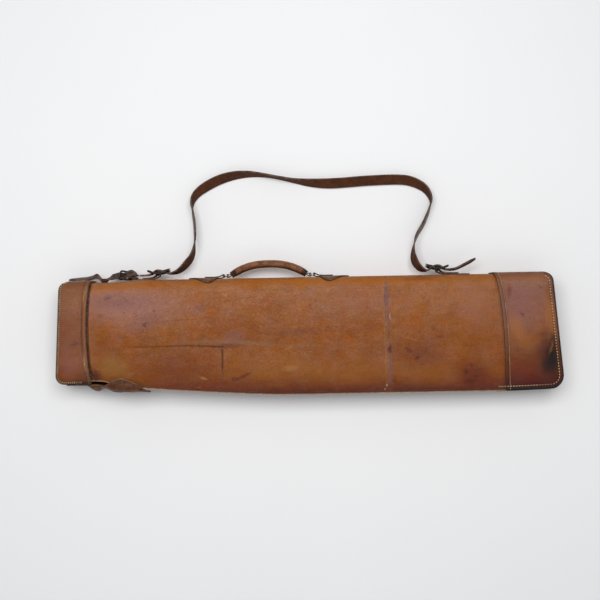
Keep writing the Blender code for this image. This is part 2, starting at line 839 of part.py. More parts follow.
def make_strap_keeper(coat):
    """A flat loop round the closing strap, with rounded corners."""
    low = NECK_TOP + GAP + KEEPER_CORNER
    high = KEEPER_TOP - KEEPER_CORNER
    reach_z = STRAP_WIDTH / 2 + GAP + KEEPER_LEATHER + 0.7 - KEEPER_CORNER
    ring = []
    for y, side_z, start in ((high, 1, 0), (low, 1, 90), (low, -1, 180), (high, -1, 270)):
        for k in range(4):
            angle = math.radians(start + 30 * k)
            ring.append((y, MIDDLE + side_z * reach_z, math.cos(angle), math.sin(angle)))
    ring.append(ring[0])

    def place(column, row, layer):
        y, z, out_y, out_z = ring[row]
        reach = KEEPER_CORNER - KEEPER_LEATHER * layer
        x = KEEPER_X + mix(-KEEPER_HALF_WIDTH, KEEPER_HALF_WIDTH, column)
        return (x, y + reach * out_y, z + reach * out_z)

    formed_sheet("strap_keeper", 1, len(ring) - 1, place, coat, closed=True)


def make_shoulder_strap(coat):
    knots = spline_points(SHOULDER_ROUTE, 3)
    normals = side_normals(knots)
    last = len(knots) - 1
    width = tapered(STRAP_WIDTH, TIP_WIDTH, 0.012)

    def place(column, row, layer):
        x, y, z, lean = knots[column]
        lean = math.radians(lean)
        outward = Vector((normals[column].x, normals[column].y, 0.0))
        up = Vector((0, 0, math.cos(lean))) + outward * math.sin(lean)
        across = outward * math.cos(lean) - Vector((0, 0, math.sin(lean)))
        half = width(column / last) / 2
        rest = half * math.cos(lean) + STRAP_THICKNESS / 2 * abs(math.sin(lean)) + GAP
        centre = Vector((x, y, max(z, rest)))
        return centre + up * mix(-half, half, row / 2) + across * (layer - 0.5) * STRAP_THICKNESS

    strap = formed_sheet("shoulder_strap", last, 2, place, coat)
    for side, (bar_x, bar_y) in SLING_BUCKLE_BARS.items():
        pull = 1 if side == "left" else -1
        ends = sorted((bar_x - pull * 4.2, bar_x + pull * (SLING_BUCKLE_HALF + 1)))
        slot = box_cutter(
            f"shoulder_strap_hole_{side}",
            (ends[0], bar_y - 7, MIDDLE - PRONG_SLOT / 2),
            (ends[1], bar_y + 12, MIDDLE + PRONG_SLOT / 2),
        )
        cut(strap, slot)
    return strap


# ---------------------------------------------------------------- buckles and their chapes


def slot_for_prong(tab, bar, reach):
    """A slot across the fold, a little wider than the one in the strap."""
    half = PRONG_SLOT / 2 + 0.5
    slot = box_cutter(
        f"{tab.name}_slot",
        (bar[0] - reach, bar[1] - 7, MIDDLE - half),
        (bar[0] + reach, bar[1] + 7, MIDDLE + half),
    )
    cut(tab, lean_cutter(slot) if bar == LID_BUCKLE_BAR else slot)


def make_lid_buckle_chape(coat):
    """A short tab folded round the heel bar, with its fold to the left."""
    radius = WIRE + BAR_PLAY + TAB_THICKNESS / 2
    bar = LID_BUCKLE_BAR
    floor = body_top(-282) + GAP + TAB_THICKNESS / 2
    lower = [(-278.4, floor), (-284.0, floor + 0.4)]
    fold = arc(bar, radius, 285, 75, 8)
    second = floor + TAB_THICKNESS + 2 * GAP
    upper = [(-284.5, second + 1.6), (-281.0, second + 0.8), (-278.4, second + 0.5)]
    path = lower + fold + upper
    tab = ribbon("lid_buckle_chape", path, lambda share: CHAPE_WIDTH, TAB_THICKNESS, coat, turn=leaned)
    slot_for_prong(tab, bar, 6.5)


def make_sling_chape(side, coat):
    """A tab that stands up off the handle side to hold the centre bar of a sling buckle."""
    bar = SLING_BUCKLE_BARS[side]
    away = 1 if side == "right" else -1
    radius = WIRE + BAR_PLAY + TAB_THICKNESS / 2
    floor = TOP + GAP + TAB_THICKNESS / 2
    second = floor + TAB_THICKNESS + GAP
    long_run, short_run = (52.0, 34.0) if side == "right" else (34.0, 26.0)
    lower = [(long_run, floor), (20.0, floor), (10.0, floor + 0.5), (3.0, floor + 2.4), (-1.2, floor + 5.0)]
    fold = [(x - bar[0], y) for x, y in arc(bar, radius, 200, -10, 9)]
    upper = [(5.2, second + 3.6), (11.0, second + 0.8), (20.0, second + 0.2), (short_run, second)]
    path = [(bar[0] + away * x, y) for x, y in lower + fold + upper]
    tab = ribbon(f"sling_chape_{side}", path, lambda share: CHAPE_WIDTH, TAB_THICKNESS, coat)
    slot_for_prong(tab, bar, 4.6)


def rounded_loop(half_x, half_z, corner, height, steps=4):
    """A closed rounded rectangle (X, Y, Z) round the origin, with Y from height(x)."""
    found = []
    for sx, sz, start in ((1, 1, 0), (-1, 1, 90), (-1, -1, 180), (1, -1, 270)):
        for k in range(steps + 1):
            angle = math.radians(start + 90 * k / steps)
            x = sx * (half_x - corner) + corner * math.cos(angle)
            z = sz * (half_z - corner) + corner * math.sin(angle)
            found.append((x, height(x), z))
    return found


def bar_mesh(length, radius):
    """A round bar along Z, centred on the origin, in millimetres."""
    mesh = bmesh.new()
    bmesh.ops.create_cone(
        mesh, cap_ends=True, segments=12, radius1=radius, radius2=radius, depth=length
    )
    return mesh


def make_lid_buckle(coat):
    """A heel-bar buckle: the closing strap goes under its front bar and its prong rests on that bar."""
    half = LID_BUCKLE_LENGTH / 2
    bar_x, bar_y = LID_BUCKLE_BAR
    loop = rounded_loop(half, LID_BUCKLE_WIDTH / 2, 3.0, lambda x: (half - x) * 0.2)
    points = [leaned_with_buckle(bar_x - half + x, bar_y + y, MIDDLE + z) for x, y, z in loop]
    frame = as_mesh(wire("lid_buckle_frame", points, WIRE, coat, cyclic=True))
    tip = (bar_x - LID_BUCKLE_LENGTH - 1.5, bar_y + LID_BUCKLE_LENGTH * 0.2 + WIRE + PRONG + 2 * GAP)
    prong = make_prong("lid_buckle_prong", LID_BUCKLE_BAR, -1, tip, coat, turn=leaned_with_buckle)
    place = leaned_with_buckle(bar_x, bar_y, MIDDLE)
    pivot = pivot_empty("lid_buckle_pivot", place)
    hang_on(pivot, frame)
    hang_on(pivot_empty("lid_buckle_prong_pivot", place, pivot), prong)


def make_prong(name, bar, pull, tip, coat, turn=None):
    """A wire hooked round a bar, whose tip reaches towards the pull side and rests on the end bar."""
    turned = arc((0.0, bar[1]), WIRE + BAR_PLAY + PRONG, -130, 100, 10)
    hook = [(bar[0] - pull * x, y) for x, y in turned]
    start, end = Vector(hook[-1]), Vector(tip)
    shaft = [tuple(start.lerp(end, k / 4)) for k in range(1, 5)]
    points = [(x, y, MIDDLE) for x, y in hook + shaft]
    return as_mesh(wire(name, [turn(*point) for point in points] if turn else points, PRONG, coat))


def make_sling_buckle(side, coat):
    """A dished buckle with a centre bar, which the chape holds and the strap passes over."""
    bar_x, bar_y = SLING_BUCKLE_BARS[side]
    pull = 1 if side == "left" else -1

    def dish(x):
        return SLING_BUCKLE_DISH * (x / SLING_BUCKLE_HALF) ** 2

    loop = rounded_loop(SLING_BUCKLE_HALF, SLING_BUCKLE_WIDTH / 2, 5.0, dish)
    middle = [(0.0, 0.0, SLING_BUCKLE_WIDTH / 2), (0.0, 0.0, -SLING_BUCKLE_WIDTH / 2)]
    loop = loop[:5] + middle[:1] + loop[5:15] + middle[1:] + loop[15:]
    points = [(bar_x + x, bar_y + y, MIDDLE + z) for x, y, z in loop]
    frame = as_mesh(wire(f"sling_buckle_{side}_frame", points, WIRE, coat, cyclic=True))
    bar = mesh_object(f"{side}_centre_bar", bar_mesh(SLING_BUCKLE_WIDTH, WIRE * 0.97), None, cutter=True)
    bar.location = Vector((bar_x, bar_y, MIDDLE)) * MM
    join = frame.modifiers.new("centre_bar", "BOOLEAN")
    join.operation = "UNION"
    join.solver = "EXACT"
    join.object = bar
    tip = (bar_x + pull * (SLING_BUCKLE_HALF + 2.0), bar_y + SLING_BUCKLE_DISH + WIRE + PRONG + 2 * GAP)
    prong = make_prong(f"sling_buckle_{side}_prong", (bar_x, bar_y), pull, tip, coat)
    place = (bar_x, bar_y, MIDDLE)
    pivot = pivot_empty(f"sling_buckle_{side}_pivot", place)
    hang_on(pivot, frame)
    hang_on(pivot_empty(f"sling_buckle_{side}_prong_pivot", place, pivot), prong)


# ---------------------------------------------------------------- handle


def handle_point(share):
    """The rolled cover's centre line, with share from -1 at its left end to 1 at its right end."""
    x = HANDLE_MIDDLE + HANDLE_HALF * share
    return (x, HANDLE_BASE + HANDLE_RISE * (1 - abs(share) ** HANDLE_POWER))


def tube_sheet(name, line, outer, inner, coat):
    """A sleeve round a centre line in plan."""
    normals = side_normals(line)
    sides = 12

    def place(column, row, layer):
        angle = 2 * math.pi * row / sides
        radius = inner if layer else outer
        side = normals[column] * radius * math.cos(angle)
        return (line[column][0] + side.x, line[column][1] + side.y, MIDDLE + radius * math.sin(angle))

    return formed_sheet(name, len(line) - 1, sides, place, coat, closed=True)


def make_handle(leather_coat, core_coat, metal):
    steps = 18
    line = [handle_point(mix(-1, 1, k / steps)) for k in range(steps + 1)]
    cover = tube_sheet("handle_cover", line, HANDLE_RADIUS, HANDLE_BORE, leather_coat)
    core_line = [handle_point(mix(-0.8, 0.8, k / steps)) for k in range(steps + 1)]
    core = as_mesh(wire("handle_core", [(x, y, MIDDLE) for x, y in core_line], HANDLE_BORE - GAP, core_coat))
    made = [cover, core]
    for side, sign in (("left", -1), ("right", 1)):
        bar_x = HANDLE_MIDDLE + sign * LINK_INNER
        made.append(make_link(side, sign, bar_x, metal))
        made.append(make_handle_loop(side, sign, bar_x, leather_coat))
    hang_on(pivot_empty("handle_pivot", (HANDLE_MIDDLE, LINK_Y, MIDDLE)), *made)


def make_link(side, sign, bar_x, metal):
    """The wire link between the handle's end and its chape."""
    loop = rounded_loop(LINK_LENGTH / 2, LINK_WIDTH / 2, 2.2, lambda x: 0.0, steps=3)
    middle = bar_x + sign * LINK_LENGTH / 2
    points = [(middle + x, LINK_Y + y, MIDDLE + z) for x, y, z in loop]
    return as_mesh(wire(f"handle_link_{side}", points, LINK_WIRE, metal, cyclic=True))


def make_handle_loop(side, sign, bar_x, coat):
    """A folded tab that holds the link and goes up into the end of the rolled cover."""
    near, far = handle_point(sign), handle_point(sign * 0.86)
    along = Vector(far) - Vector(near)
    along.normalize()
    across = Vector((-along.y, along.x))
    bar = Vector((bar_x, LINK_Y))
    radius = LINK_WIRE + LINK_PLAY + TAB_THICKNESS / 2
    pinch = TAB_THICKNESS / 2 + GAP / 2
    heading = math.degrees(math.atan2(along.y, along.x))
    fold = arc(tuple(bar), radius, heading + 270, heading + 90, 8)
    lower = [tuple(Vector(point) - across * pinch) for point in (far, near)]
    upper = [tuple(Vector(point) + across * pinch) for point in (near, far)]
    path = lower + fold + upper
    return ribbon(f"handle_loop_{side}", path, lambda share: HANDLE_LOOP_WIDTH, TAB_THICKNESS, coat)


def over_the_fold(rise, along):
    """(Y, Z) that far above the handle side and that far along it from MIDDLE, round its folds."""
    flat = DEPTH / 2 - FOLD_RADIUS
    angle = max(0.0, abs(along) - flat) / FOLD_RADIUS
    bend = FOLD_RADIUS + rise + FOLD_AIR * smooth(0.0, 0.15, angle)
    z = min(abs(along), flat) + bend * math.sin(angle)
    return TOP - FOLD_RADIUS + bend * math.cos(angle), MIDDLE + math.copysign(z, along)


def leaf_half_width(x):
    """Half the width of a handle chape that far from its bar: narrow in the link, then a pointed leaf."""
    if x < HANDLE_LEAF_START:
        return HANDLE_CHAPE_NARROW / 2
    along = min(1.0, (x - HANDLE_LEAF_START) / (HANDLE_LEAF_END - HANDLE_LEAF_START))
    swell = math.sin(math.pi * along**0.65) ** 0.8 if along < 1 else 0.0
    return mix(HANDLE_CHAPE_NARROW / 2, HANDLE_LEAF_HALF, swell)


def make_handle_chape(side, sign, coat):
    """A leaf sewn over the handle side, whose narrow end folds round the outer bar of a link."""
    bar = (HANDLE_MIDDLE + sign * (LINK_INNER + LINK_LENGTH), LINK_Y)
    radius = LINK_WIRE + BAR_PLAY + TAB_THICKNESS / 2
    floor = TOP + GAP + TAB_THICKNESS / 2
    second = floor + TAB_THICKNESS + GAP
    stops = 14
    leaf = [(mix(HANDLE_LEAF_END, HANDLE_LEAF_START, k / stops), floor) for k in range(stops + 1)]
    lower = leaf + [(3.5, floor + 0.3)]
    fold = [(x - bar[0], y) for x, y in arc(bar, radius, 270, 90, 8)]
    upper = [(3.0, second + 3.0), (8.0, second + 1.2), (16.0, second + 0.2), (30.0, second)]
    halves = [leaf_half_width(x) for x, y in lower] + [HANDLE_CHAPE_NARROW / 2] * len(fold + upper)
    path = [(bar[0] + sign * x, y) for x, y in lower + fold + upper]
    normals = side_normals(path)
    rows = 8

    def place(column, row, layer):
        push = normals[column] * (layer - 0.5) * TAB_THICKNESS
        back = halves[column] - HANDLE_LEAF_SHORT * smooth(6, 20, halves[column])
        along = mix(-back, halves[column], row / rows)
        y, z = over_the_fold(path[column][1] + push.y - TOP, along)
        return (path[column][0] + push.x, y, z)

    formed_sheet(f"handle_chape_{side}", len(path) - 1, rows, place, coat)


# ---------------------------------------------------------------- assembly


def main():
    clear_scene()

    def leather(name):
        return material(f"{name}_leather", (0.36, 0.14, 0.05), 0.5)

    def dark_leather(name):
        return material(f"{name}_leather", (0.1, 0.045, 0.03), 0.55)

    cloth = material("lining_cloth", (0.3, 0.22, 0.14), 0.9)
    board = material("board", (0.33, 0.25, 0.17), 0.85)
    metal = material("blackened_steel", (0.09, 0.075, 0.065), 0.4, 1.0)
    make_body(leather, dark_leather, cloth, board)
    lid = make_lid(leather)
    lid.append(make_lid_board(board))
    lid.append(make_closing_strap(dark_leather("closing_strap")))
    for side, front in (("front", True), ("back", False)):
        name = f"lid_welt_{side}"
        size = (LID_WELT_PROUD, LID_WELT_WIDTH)
        lid.append(make_welt(name, lid_rim(), *size, lid_ceiling, lid_face, front, dark_leather(name)))
    hang_on(pivot_empty("lid_pivot", LID_PIVOT), *lid)
    make_hinge_strap(dark_leather("hinge_strap"))
    make_strap_keeper(dark_leather("strap_keeper"))
    make_lid_buckle_chape(dark_leather("lid_buckle_chape"))
    make_lid_buckle(metal)
    for side, sign in (("left", -1), ("right", 1)):
        make_sling_chape(side, leather(f"sling_chape_{side}"))
        make_sling_buckle(side, metal)
        make_handle_chape(side, sign, dark_leather(f"handle_chape_{side}"))
    make_handle(dark_leather("handle"), cloth, metal)
    strap = make_shoulder_strap(dark_leather("shoulder_strap"))
    hang_on(pivot_empty("shoulder_strap_pivot", STRAP_PIVOT), strap)


main()
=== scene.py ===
"""The looks of the leather rod case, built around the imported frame.

Sizes are in millimetres along the frame's axes and are turned into metres when a mesh is made.
+X runs from the lid to the boot, +Y points to the handle side and +Z up out of the front face.
"""

import math

import bmesh
import bpy
from mathutils import Matrix, Vector, noise


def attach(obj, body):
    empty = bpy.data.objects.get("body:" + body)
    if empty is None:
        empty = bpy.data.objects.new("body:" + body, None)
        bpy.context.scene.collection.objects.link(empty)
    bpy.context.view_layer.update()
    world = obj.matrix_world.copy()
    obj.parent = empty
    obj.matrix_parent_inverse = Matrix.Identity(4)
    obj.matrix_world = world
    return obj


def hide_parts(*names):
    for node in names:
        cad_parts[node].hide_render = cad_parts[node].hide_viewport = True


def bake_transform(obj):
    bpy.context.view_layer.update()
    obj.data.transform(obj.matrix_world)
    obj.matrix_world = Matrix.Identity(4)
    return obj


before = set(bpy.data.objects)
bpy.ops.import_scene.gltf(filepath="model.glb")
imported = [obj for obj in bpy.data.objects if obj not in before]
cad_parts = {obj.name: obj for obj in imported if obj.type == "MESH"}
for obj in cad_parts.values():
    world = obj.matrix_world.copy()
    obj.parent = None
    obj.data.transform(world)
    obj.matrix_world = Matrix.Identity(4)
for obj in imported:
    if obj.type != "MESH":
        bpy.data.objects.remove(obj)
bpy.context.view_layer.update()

MM = 0.001
GAP = 0.3

# The case's own sizes, as its frame has them
DEPTH = 70.0
LEATHER = 3.5
TOP = 91.6
NECK_TOP = 88.4
BOTTOM = -96.8
NECK_BOTTOM = -69.8
NECK_LEFT = -384.0
FOLD_RADIUS = 16.0
STITCH_AIR = 0.8  # the stitches on the back stand this far below the case, so the floor is as low
TAPER_START = -40.0
TAPER_RATE = 0.01238
TAPER_POWER = 1.3
TOE_START = 300.0
TOE_RISE = 3.0
TOE_LENGTH = 106.0
END_X = 400.9
END_SLANT = -0.0917
TOE_TOP_RADIUS = 13.0
TOE_BOTTOM_RADIUS = 24.0
NECK_RADIUS = 24.0
BOOT_LEATHER = 2.0
BOOT_TOP = TOP + BOOT_LEATHER + GAP
BOOT_FOLD = FOLD_RADIUS + BOOT_LEATHER + GAP
BOOT_EDGE = 314.5
BOOT_EDGE_CURVE = 14.5
LID_LEATHER = 2.6
LID_CLEARANCE = 0.4
LID_TOP = 92.0
LID_BOTTOM = -74.0
LID_LEFT = -404.6
LID_SLANT = -0.05
LID_CORNER = 14.0
LID_MOUTH = -351.0
LID_BOW = 7.0
MIDDLE = 35.0
STRAP_WIDTH = 19.0
TIP_WIDTH = 7.0
STRAP_THICKNESS = 2.6
TAB_THICKNESS = 1.6
CHAPE_WIDTH = 17.0
WIRE = 1.6
PRONG = 1.1
BAR_PLAY = 0.25
LID_BUCKLE_BAR = (-290.0, 96.4)
LID_BUCKLE_LENGTH = 17.0
LID_BUCKLE_WIDTH = 25.0
LID_BUCKLE_SLOPE = 0.2
SLING_BUCKLE_BARS = {"left": (-243.5, 102.0), "right": (211.8, 102.0)}
SLING_BUCKLE_HALF = 16.8
SLING_BUCKLE_WIDTH = 27.0
SLING_BUCKLE_DISH = 4.5
PRONG_SLOT = 3.6
PRONG_HOLE = 1.9  # radius
HANDLE_MIDDLE = -63.5
HANDLE_HALF = 61.5
HANDLE_BASE = 97.4
HANDLE_RISE = 17.6
HANDLE_POWER = 2.4
HANDLE_RADIUS = 6.0
HANDLE_BORE = 4.0
LINK_WIRE = 1.3
LINK_LENGTH = 7.6
LINK_WIDTH = 12.6
LINK_Y = 96.2
LINK_PLAY = 0.5
LINK_INNER = 67.0
HANDLE_LOOP_WIDTH = 5.6
HANDLE_CHAPE_NARROW = 9.0
HANDLE_LEAF_START = 5.0
HANDLE_LEAF_END = 56.0
HANDLE_LEAF_HALF = 35.0
HANDLE_LEAF_SHORT = 6.0  # how much less it reaches round the back
KEEPER_X = -333.0
KEEPER_HALF_WIDTH = 3.2
KEEPER_TOP = 95.2
KEEPER_LEATHER = 1.4
KEEPER_CORNER = 2.0

# What only the looks have
BODY_CROWN = 3.0  # how far the body's front swells between its edges
BOOT_CROWN = 2.0
LID_CROWN = 1.6
SHOULDER_GAP = 3.8  # from the lid's mouth to the body's raised shoulder
STITCH_INSET = 7.0  # from the toe's edge to its stitches
BOOT_SEAM = 6.5  # from the boot's edge to its stitches
LID_SEAM = 5.0
LID_WHIP_SEAM = LID_SEAM - 2.2  # from the lid's edge to its slanted stitches
LID_BEAD = 5.6  # width of the bead along the lid's mouth
LID_GROOVE = LID_BEAD + 1.2  # from the lid's mouth to the sewn groove behind the bead
BAND_X = 122.0  # the worn band's groove, and the low ridge beside it
RIDGE_X = 126.5
BAND_SLANT = 0.014
HINGE_CREASE = 0.92  # where the creased line runs, as a share of the half width
LEAF_CREASE = 0.9
STITCH_PITCH = 4.2
STRAP_SEAM = 6.3  # from the closing strap's middle to its stitches
CHAPE_SEAM = 5.6
LEAF_SEAM = 3.2  # from a handle chape's edge to its stitches

# The studio, in metres and degrees
KEY_PLACE = (-0.1, 0.5, 1.95)
KEY_POWER = 28.5
FILL_PLACE = (0.2, -1.2, 2.1)
FILL_POWER = 3.4
SKY_STRENGTH = 0.36
CAMERA_PLACE = (-0.0134, 0.0547, 1.67)
CAMERA_TURN = -1.04
CAMERA_ANGLE = 33.45

# The shoulder strap's centre line: X, Y, Z and how far its upper edge leans out of the loop, in degrees.
SHOULDER_ROUTE = [
    (-274.0, 99.2, 35.0, 0),
    (-268.0, 99.3, 35.0, 0),
    (-261.0, 99.8, 35.0, 0),
    (-254.0, 102.0, 35.0, 0),
    (-247.0, 107.0, 35.0, 0),
    (-240.0, 107.0, 35.0, 0),
    (-232.0, 103.0, 35.0, 0),
    (-222.0, 102.0, 35.0, 5),
    (-209.0, 107.0, 34.0, 18),
    (-197.0, 119.0, 31.5, 26),
    (-188.5, 133.0, 28.5, 14),
    (-185.0, 156.0, 24.0, -8),
    (-185.5, 182.0, 19.0, -12),
    (-188.5, 204.0, 15.0, -8),
    (-189.5, 218.0, 12.5, 8),
    (-183.5, 232.0, 10.5, 28),
    (-168.0, 245.0, 9.0, 42),
    (-143.0, 257.5, 8.5, 44),
    (-118.0, 264.0, 8.5, 34),
    (-93.0, 265.5, 9.0, 20),
    (-68.0, 263.0, 9.5, 8),
    (-43.0, 258.2, 9.8, 6),
    (-18.0, 253.0, 9.8, 14),
    (7.0, 249.5, 9.5, 32),
    (32.0, 248.0, 9.0, 46),
    (57.0, 248.5, 8.5, 50),
    (107.0, 251.5, 8.5, 50),
    (157.0, 252.0, 8.5, 48),
    (181.0, 246.5, 9.0, 42),
    (198.0, 235.5, 10.0, 26),
    (206.5, 220.0, 11.5, 6),
    (205.0, 206.0, 13.5, -8),
    (194.5, 180.0, 17.5, -16),
    (181.0, 157.0, 21.5, -14),
    (174.5, 134.0, 26.0, 4),
    (176.0, 116.0, 30.0, 26),
    (184.0, 103.5, 33.0, 22),
    (193.0, 99.3, 34.6, 6),
    (200.0, 101.3, 35.0, 0),
    (207.0, 106.6, 35.0, 0),
    (212.0, 107.4, 35.0, 0),
    (217.0, 106.2, 35.0, 0),
    (225.0, 100.8, 35.0, 0),
    (241.0, 101.2, 35.0, 8),
    (258.0, 108.5, 35.0, 12),
    (275.0, 117.3, 35.0, 12),
]
# The closing strap's centre line before it leans: X and Y
CLOSING_ROUTE = [
    (-389.0, 93.7),
    (-365.0, 93.8),
    (-354.0, 95.2),
    (-346.5, 98.7),
    (-341.0, 96.4),
    (-337.0, 92.2),
    (-333.0, 91.7),
    (-329.0, 92.2),
    (-325.0, 95.8),
    (-319.5, 98.6),
    (-312.0, 97.8),
    (-305.0, 95.4),
    (-299.0, 97.4),
    (-293.0, 101.2),
    (-287.0, 101.8),
    (-281.0, 100.0),
    (-277.0, 98.4),
]
# How the closing strap and its buckle lean their front edge towards the case: X, degrees and rise
CLOSING_POSES = [
    (-389.0, 6.0, 0.9),
    (-365.0, 12.0, 1.9),
    (-354.0, 18.0, 1.8),
    (-346.5, 24.0, 0.6),
    (-338.0, 0.0, 0.0),
    (-328.0, 0.0, 0.0),
    (-319.5, 26.0, -0.5),
    (-309.0, 30.0, 2.4),
    (-288.6, 30.0, 2.4),
    (-283.5, 14.0, 2.0),
    (-278.4, 0.0, 0.4),
]
# The hinge strap's front edge, the corner that it bends round and its back edge: X, then Y and Z of each.
HINGE_ROUTE = [
    (-392.0, -75.7, 59.0, -75.7, 36.0, -75.7, 13.0),
    (-372.0, -75.7, 59.0, -75.7, 36.0, -75.7, 13.0),
    (-361.0, -75.9, 61.0, -78.4, 37.0, -76.0, 13.0),
    (-352.0, -75.9, 62.5, -91.5, 48.0, -75.4, 14.0),
    (-343.0, -75.2, 63.5, -98.0, 52.0, -75.0, 15.0),
    (-335.0, -76.2, 66.5, -90.0, 54.0, -76.0, 17.0),
    (-327.0, -75.8, 72.4, -86.5, 68.0, -80.4, 19.0),
    (-318.0, -70.8, 74.0, -91.5, 78.0, -87.2, 22.0),
    (-309.0, -67.0, 73.4, -93.5, 83.0, -88.0, 24.0),
    (-301.0, -65.6, 72.8, -95.0, 87.0, -86.0, 26.0),
    (-293.0, -68.2, 72.8, -95.0, 86.5, -85.6, 30.0),
    (-283.0, -72.6, 72.8, -94.0, 84.0, -86.2, 32.0),
    (-270.0, -78.6, 73.2, -91.0, 78.0, -87.4, 34.0),
    (-258.0, -85.6, 70.0, -90.0, 66.0, -88.8, 36.0),
]
HINGE_TIP = 0.42  # its width at the tip, as a share of its full width


# ---------------------------------------------------------------- numbers and lines


def smooth(low, high, value):
    t = min(1.0, max(0.0, (value - low) / (high - low)))
    return t * t * (3 - 2 * t)


def mix(a, b, t):
    return a + (b - a) * t


def hill(distance, width):
    """1 at no distance, fading to nothing over about twice the width."""
    return math.exp(-((distance / width) ** 2))


def ripple(x, y, size, seed=0.0):
    """Smooth random relief from about -0.7 to 0.7, the same on each run."""
    return noise.noise(Vector((x / size, y / size, seed)))


def between_knots(p, q, r, s, t):
    """The Catmull-Rom value between q and r, with p before and s after them."""
    square = (2 * p - 5 * q + 4 * r - s) * t**2
    cube = (3 * q - p - 3 * r + s) * t**3
    return 0.5 * (2 * q + (r - p) * t + square + cube)


def spline_points(knots, steps):
    """A Catmull-Rom curve through the knots, with the given number of steps between each pair."""
    padded = [knots[0]] + list(knots) + [knots[-1]]
    found = []
    for around in zip(padded, padded[1:], padded[2:], padded[3:]):
        for k in range(steps):
            found.append(tuple(between_knots(*values, k / steps) for values in zip(*around)))
    found.append(tuple(float(value) for value in knots[-1]))
    return found


def side_normals(path):
    """The left-hand unit normal, in plan, at each point of a path."""
    found = []
    for before, after in zip([path[0]] + path[:-1], path[1:] + [path[-1]]):
        ahead = Vector((after[0] - before[0], after[1] - before[1]))
        ahead.normalize()
        found.append(Vector((-ahead.y, ahead.x)))
    return found


def arc(centre, radius, start, end, steps):
    """Points on an arc in plan, from one angle to another, in degrees."""
    angles = [math.radians(mix(start, end, k / steps)) for k in range(steps + 1)]
    return [(centre[0] + radius * math.cos(a), centre[1] + radius * math.sin(a)) for a in angles]


def stops(low, high, step, fine=()):
    """Places from low to high, a step apart, or closer inside each fine zone of (start, end, step)."""
    found = [low]
    while found[-1] < high - 1e-6:
        here = found[-1]
        steps = [near for start, end, near in fine if start - 1e-6 <= here < end - 1e-6]
        after = here + min(steps + [step])
        for start, end, near in fine:
            if here < start - 1e-6 < after:
                after = start
        found.append(min(after, high))
    return found


def segment_distance(x, y, start, end):
    """How far a point in plan is from the segment between two others."""
    ahead = Vector(end) - Vector(start)
    offset = Vector((x, y)) - Vector(start)
    share = min(1.0, max(0.0, offset.dot(ahead) / ahead.length_squared))
    return (offset - ahead * share).length


# ---------------------------------------------------------------- outlines


def body_top(x):
    return mix(NECK_TOP, TOP, smooth(-325, -265, x))


def body_bottom(x):
    taper = TAPER_RATE * max(0.0, TAPER_START - x) ** TAPER_POWER
    toe = TOE_RISE * (max(0.0, x - TOE_START) / TOE_LENGTH) ** 1.5
    return mix(BOTTOM + taper + toe, NECK_BOTTOM, smooth(-300, -338, x))


def body_lower(x):
    lid_lift = LID_LEATHER + LID_CLEARANCE
    boot_lift = BOOT_LEATHER + GAP
    return lid_lift * smooth(-270, -330, x) + boot_lift * smooth(230, 290, x)


def body_outline(x):
    lower = body_lower(x)
    return body_bottom(x), body_top(x), lower, DEPTH - lower


def boot_outline(x):
    return body_bottom(x), BOOT_TOP, 0.0, DEPTH


def lid_outline(x):
    return LID_BOTTOM, LID_TOP, 0.0, DEPTH


def rounding(distance, radius):
    """How far a corner of the given radius is cut back at a distance from the side."""
    if distance >= radius:
        return 0.0
    return radius - math.sqrt(max(0.0, radius**2 - (radius - distance) ** 2))


def toe_edge(y, top=TOP):
    low = body_bottom(TOE_START + TOE_LENGTH * 0.8)
    cut_back = max(rounding(top - y, TOE_TOP_RADIUS), rounding(y - low, TOE_BOTTOM_RADIUS))
    return END_X + END_SLANT * y - cut_back


def boot_toe_edge(y):
    return toe_edge(y, BOOT_TOP)


def neck_edge(y):
    cut_back = max(rounding(NECK_TOP - y, NECK_RADIUS), rounding(y - NECK_BOTTOM, NECK_RADIUS))
    return NECK_LEFT + cut_back


def boot_edge(y):
    return BOOT_EDGE - BOOT_EDGE_CURVE * max(0.0, (y - BOTTOM) / (TOP - BOTTOM)) ** 3.5


def lid_end(y):
    cut_back = max(rounding(LID_TOP - y, LID_CORNER), rounding(y - LID_BOTTOM, LID_CORNER))
    return LID_LEFT - LID_SLANT * y + cut_back


def lid_mouth(y):
    middle = (LID_TOP + LID_BOTTOM) / 2
    half = (LID_TOP - LID_BOTTOM) / 2
    return LID_MOUTH - LID_BOW * (1 - ((y - middle) / half) ** 2)


def corner_distance(along, across, radius):
    """How far in from a rounded corner a point lies, from its distances to the two sides."""
    if along < radius and across < radius:
        return radius - math.hypot(radius - along, radius - across)
    return min(along, across)


def handle_point(share):
    """The rolled handle's centre line, with share from -1 at its left end to 1 at its right end."""
    x = HANDLE_MIDDLE + HANDLE_HALF * share
    return (x, HANDLE_BASE + HANDLE_RISE * (1 - abs(share) ** HANDLE_POWER))


# ---------------------------------------------------------------- mesh making


def mesh_object(name, mesh, coats, angle=40):
    """Scale a bmesh from millimetres and make it an object, smooth away from its sharp edges."""
    bmesh.ops.recalc_face_normals(mesh, faces=mesh.faces[:])
    bmesh.ops.scale(mesh, vec=(MM, MM, MM), verts=mesh.verts[:])
    data = bpy.data.meshes.new(name)
    mesh.to_mesh(data)
    mesh.free()
    data.shade_smooth()
    data.set_sharp_from_angle(angle=math.radians(angle))
    item = bpy.data.objects.new(name, data)
    bpy.context.scene.collection.objects.link(item)
    for coat in coats:
        data.materials.append(coat)
    return item


def settle(item, angle=40):
    """Apply an object's modifiers to its mesh."""
    graph = bpy.context.evaluated_depsgraph_get()
    data = bpy.data.meshes.new_from_object(item.evaluated_get(graph))
    item.modifiers.clear()
    item.data = data
    data.shade_smooth()
    data.set_sharp_from_angle(angle=math.radians(angle))
    return item


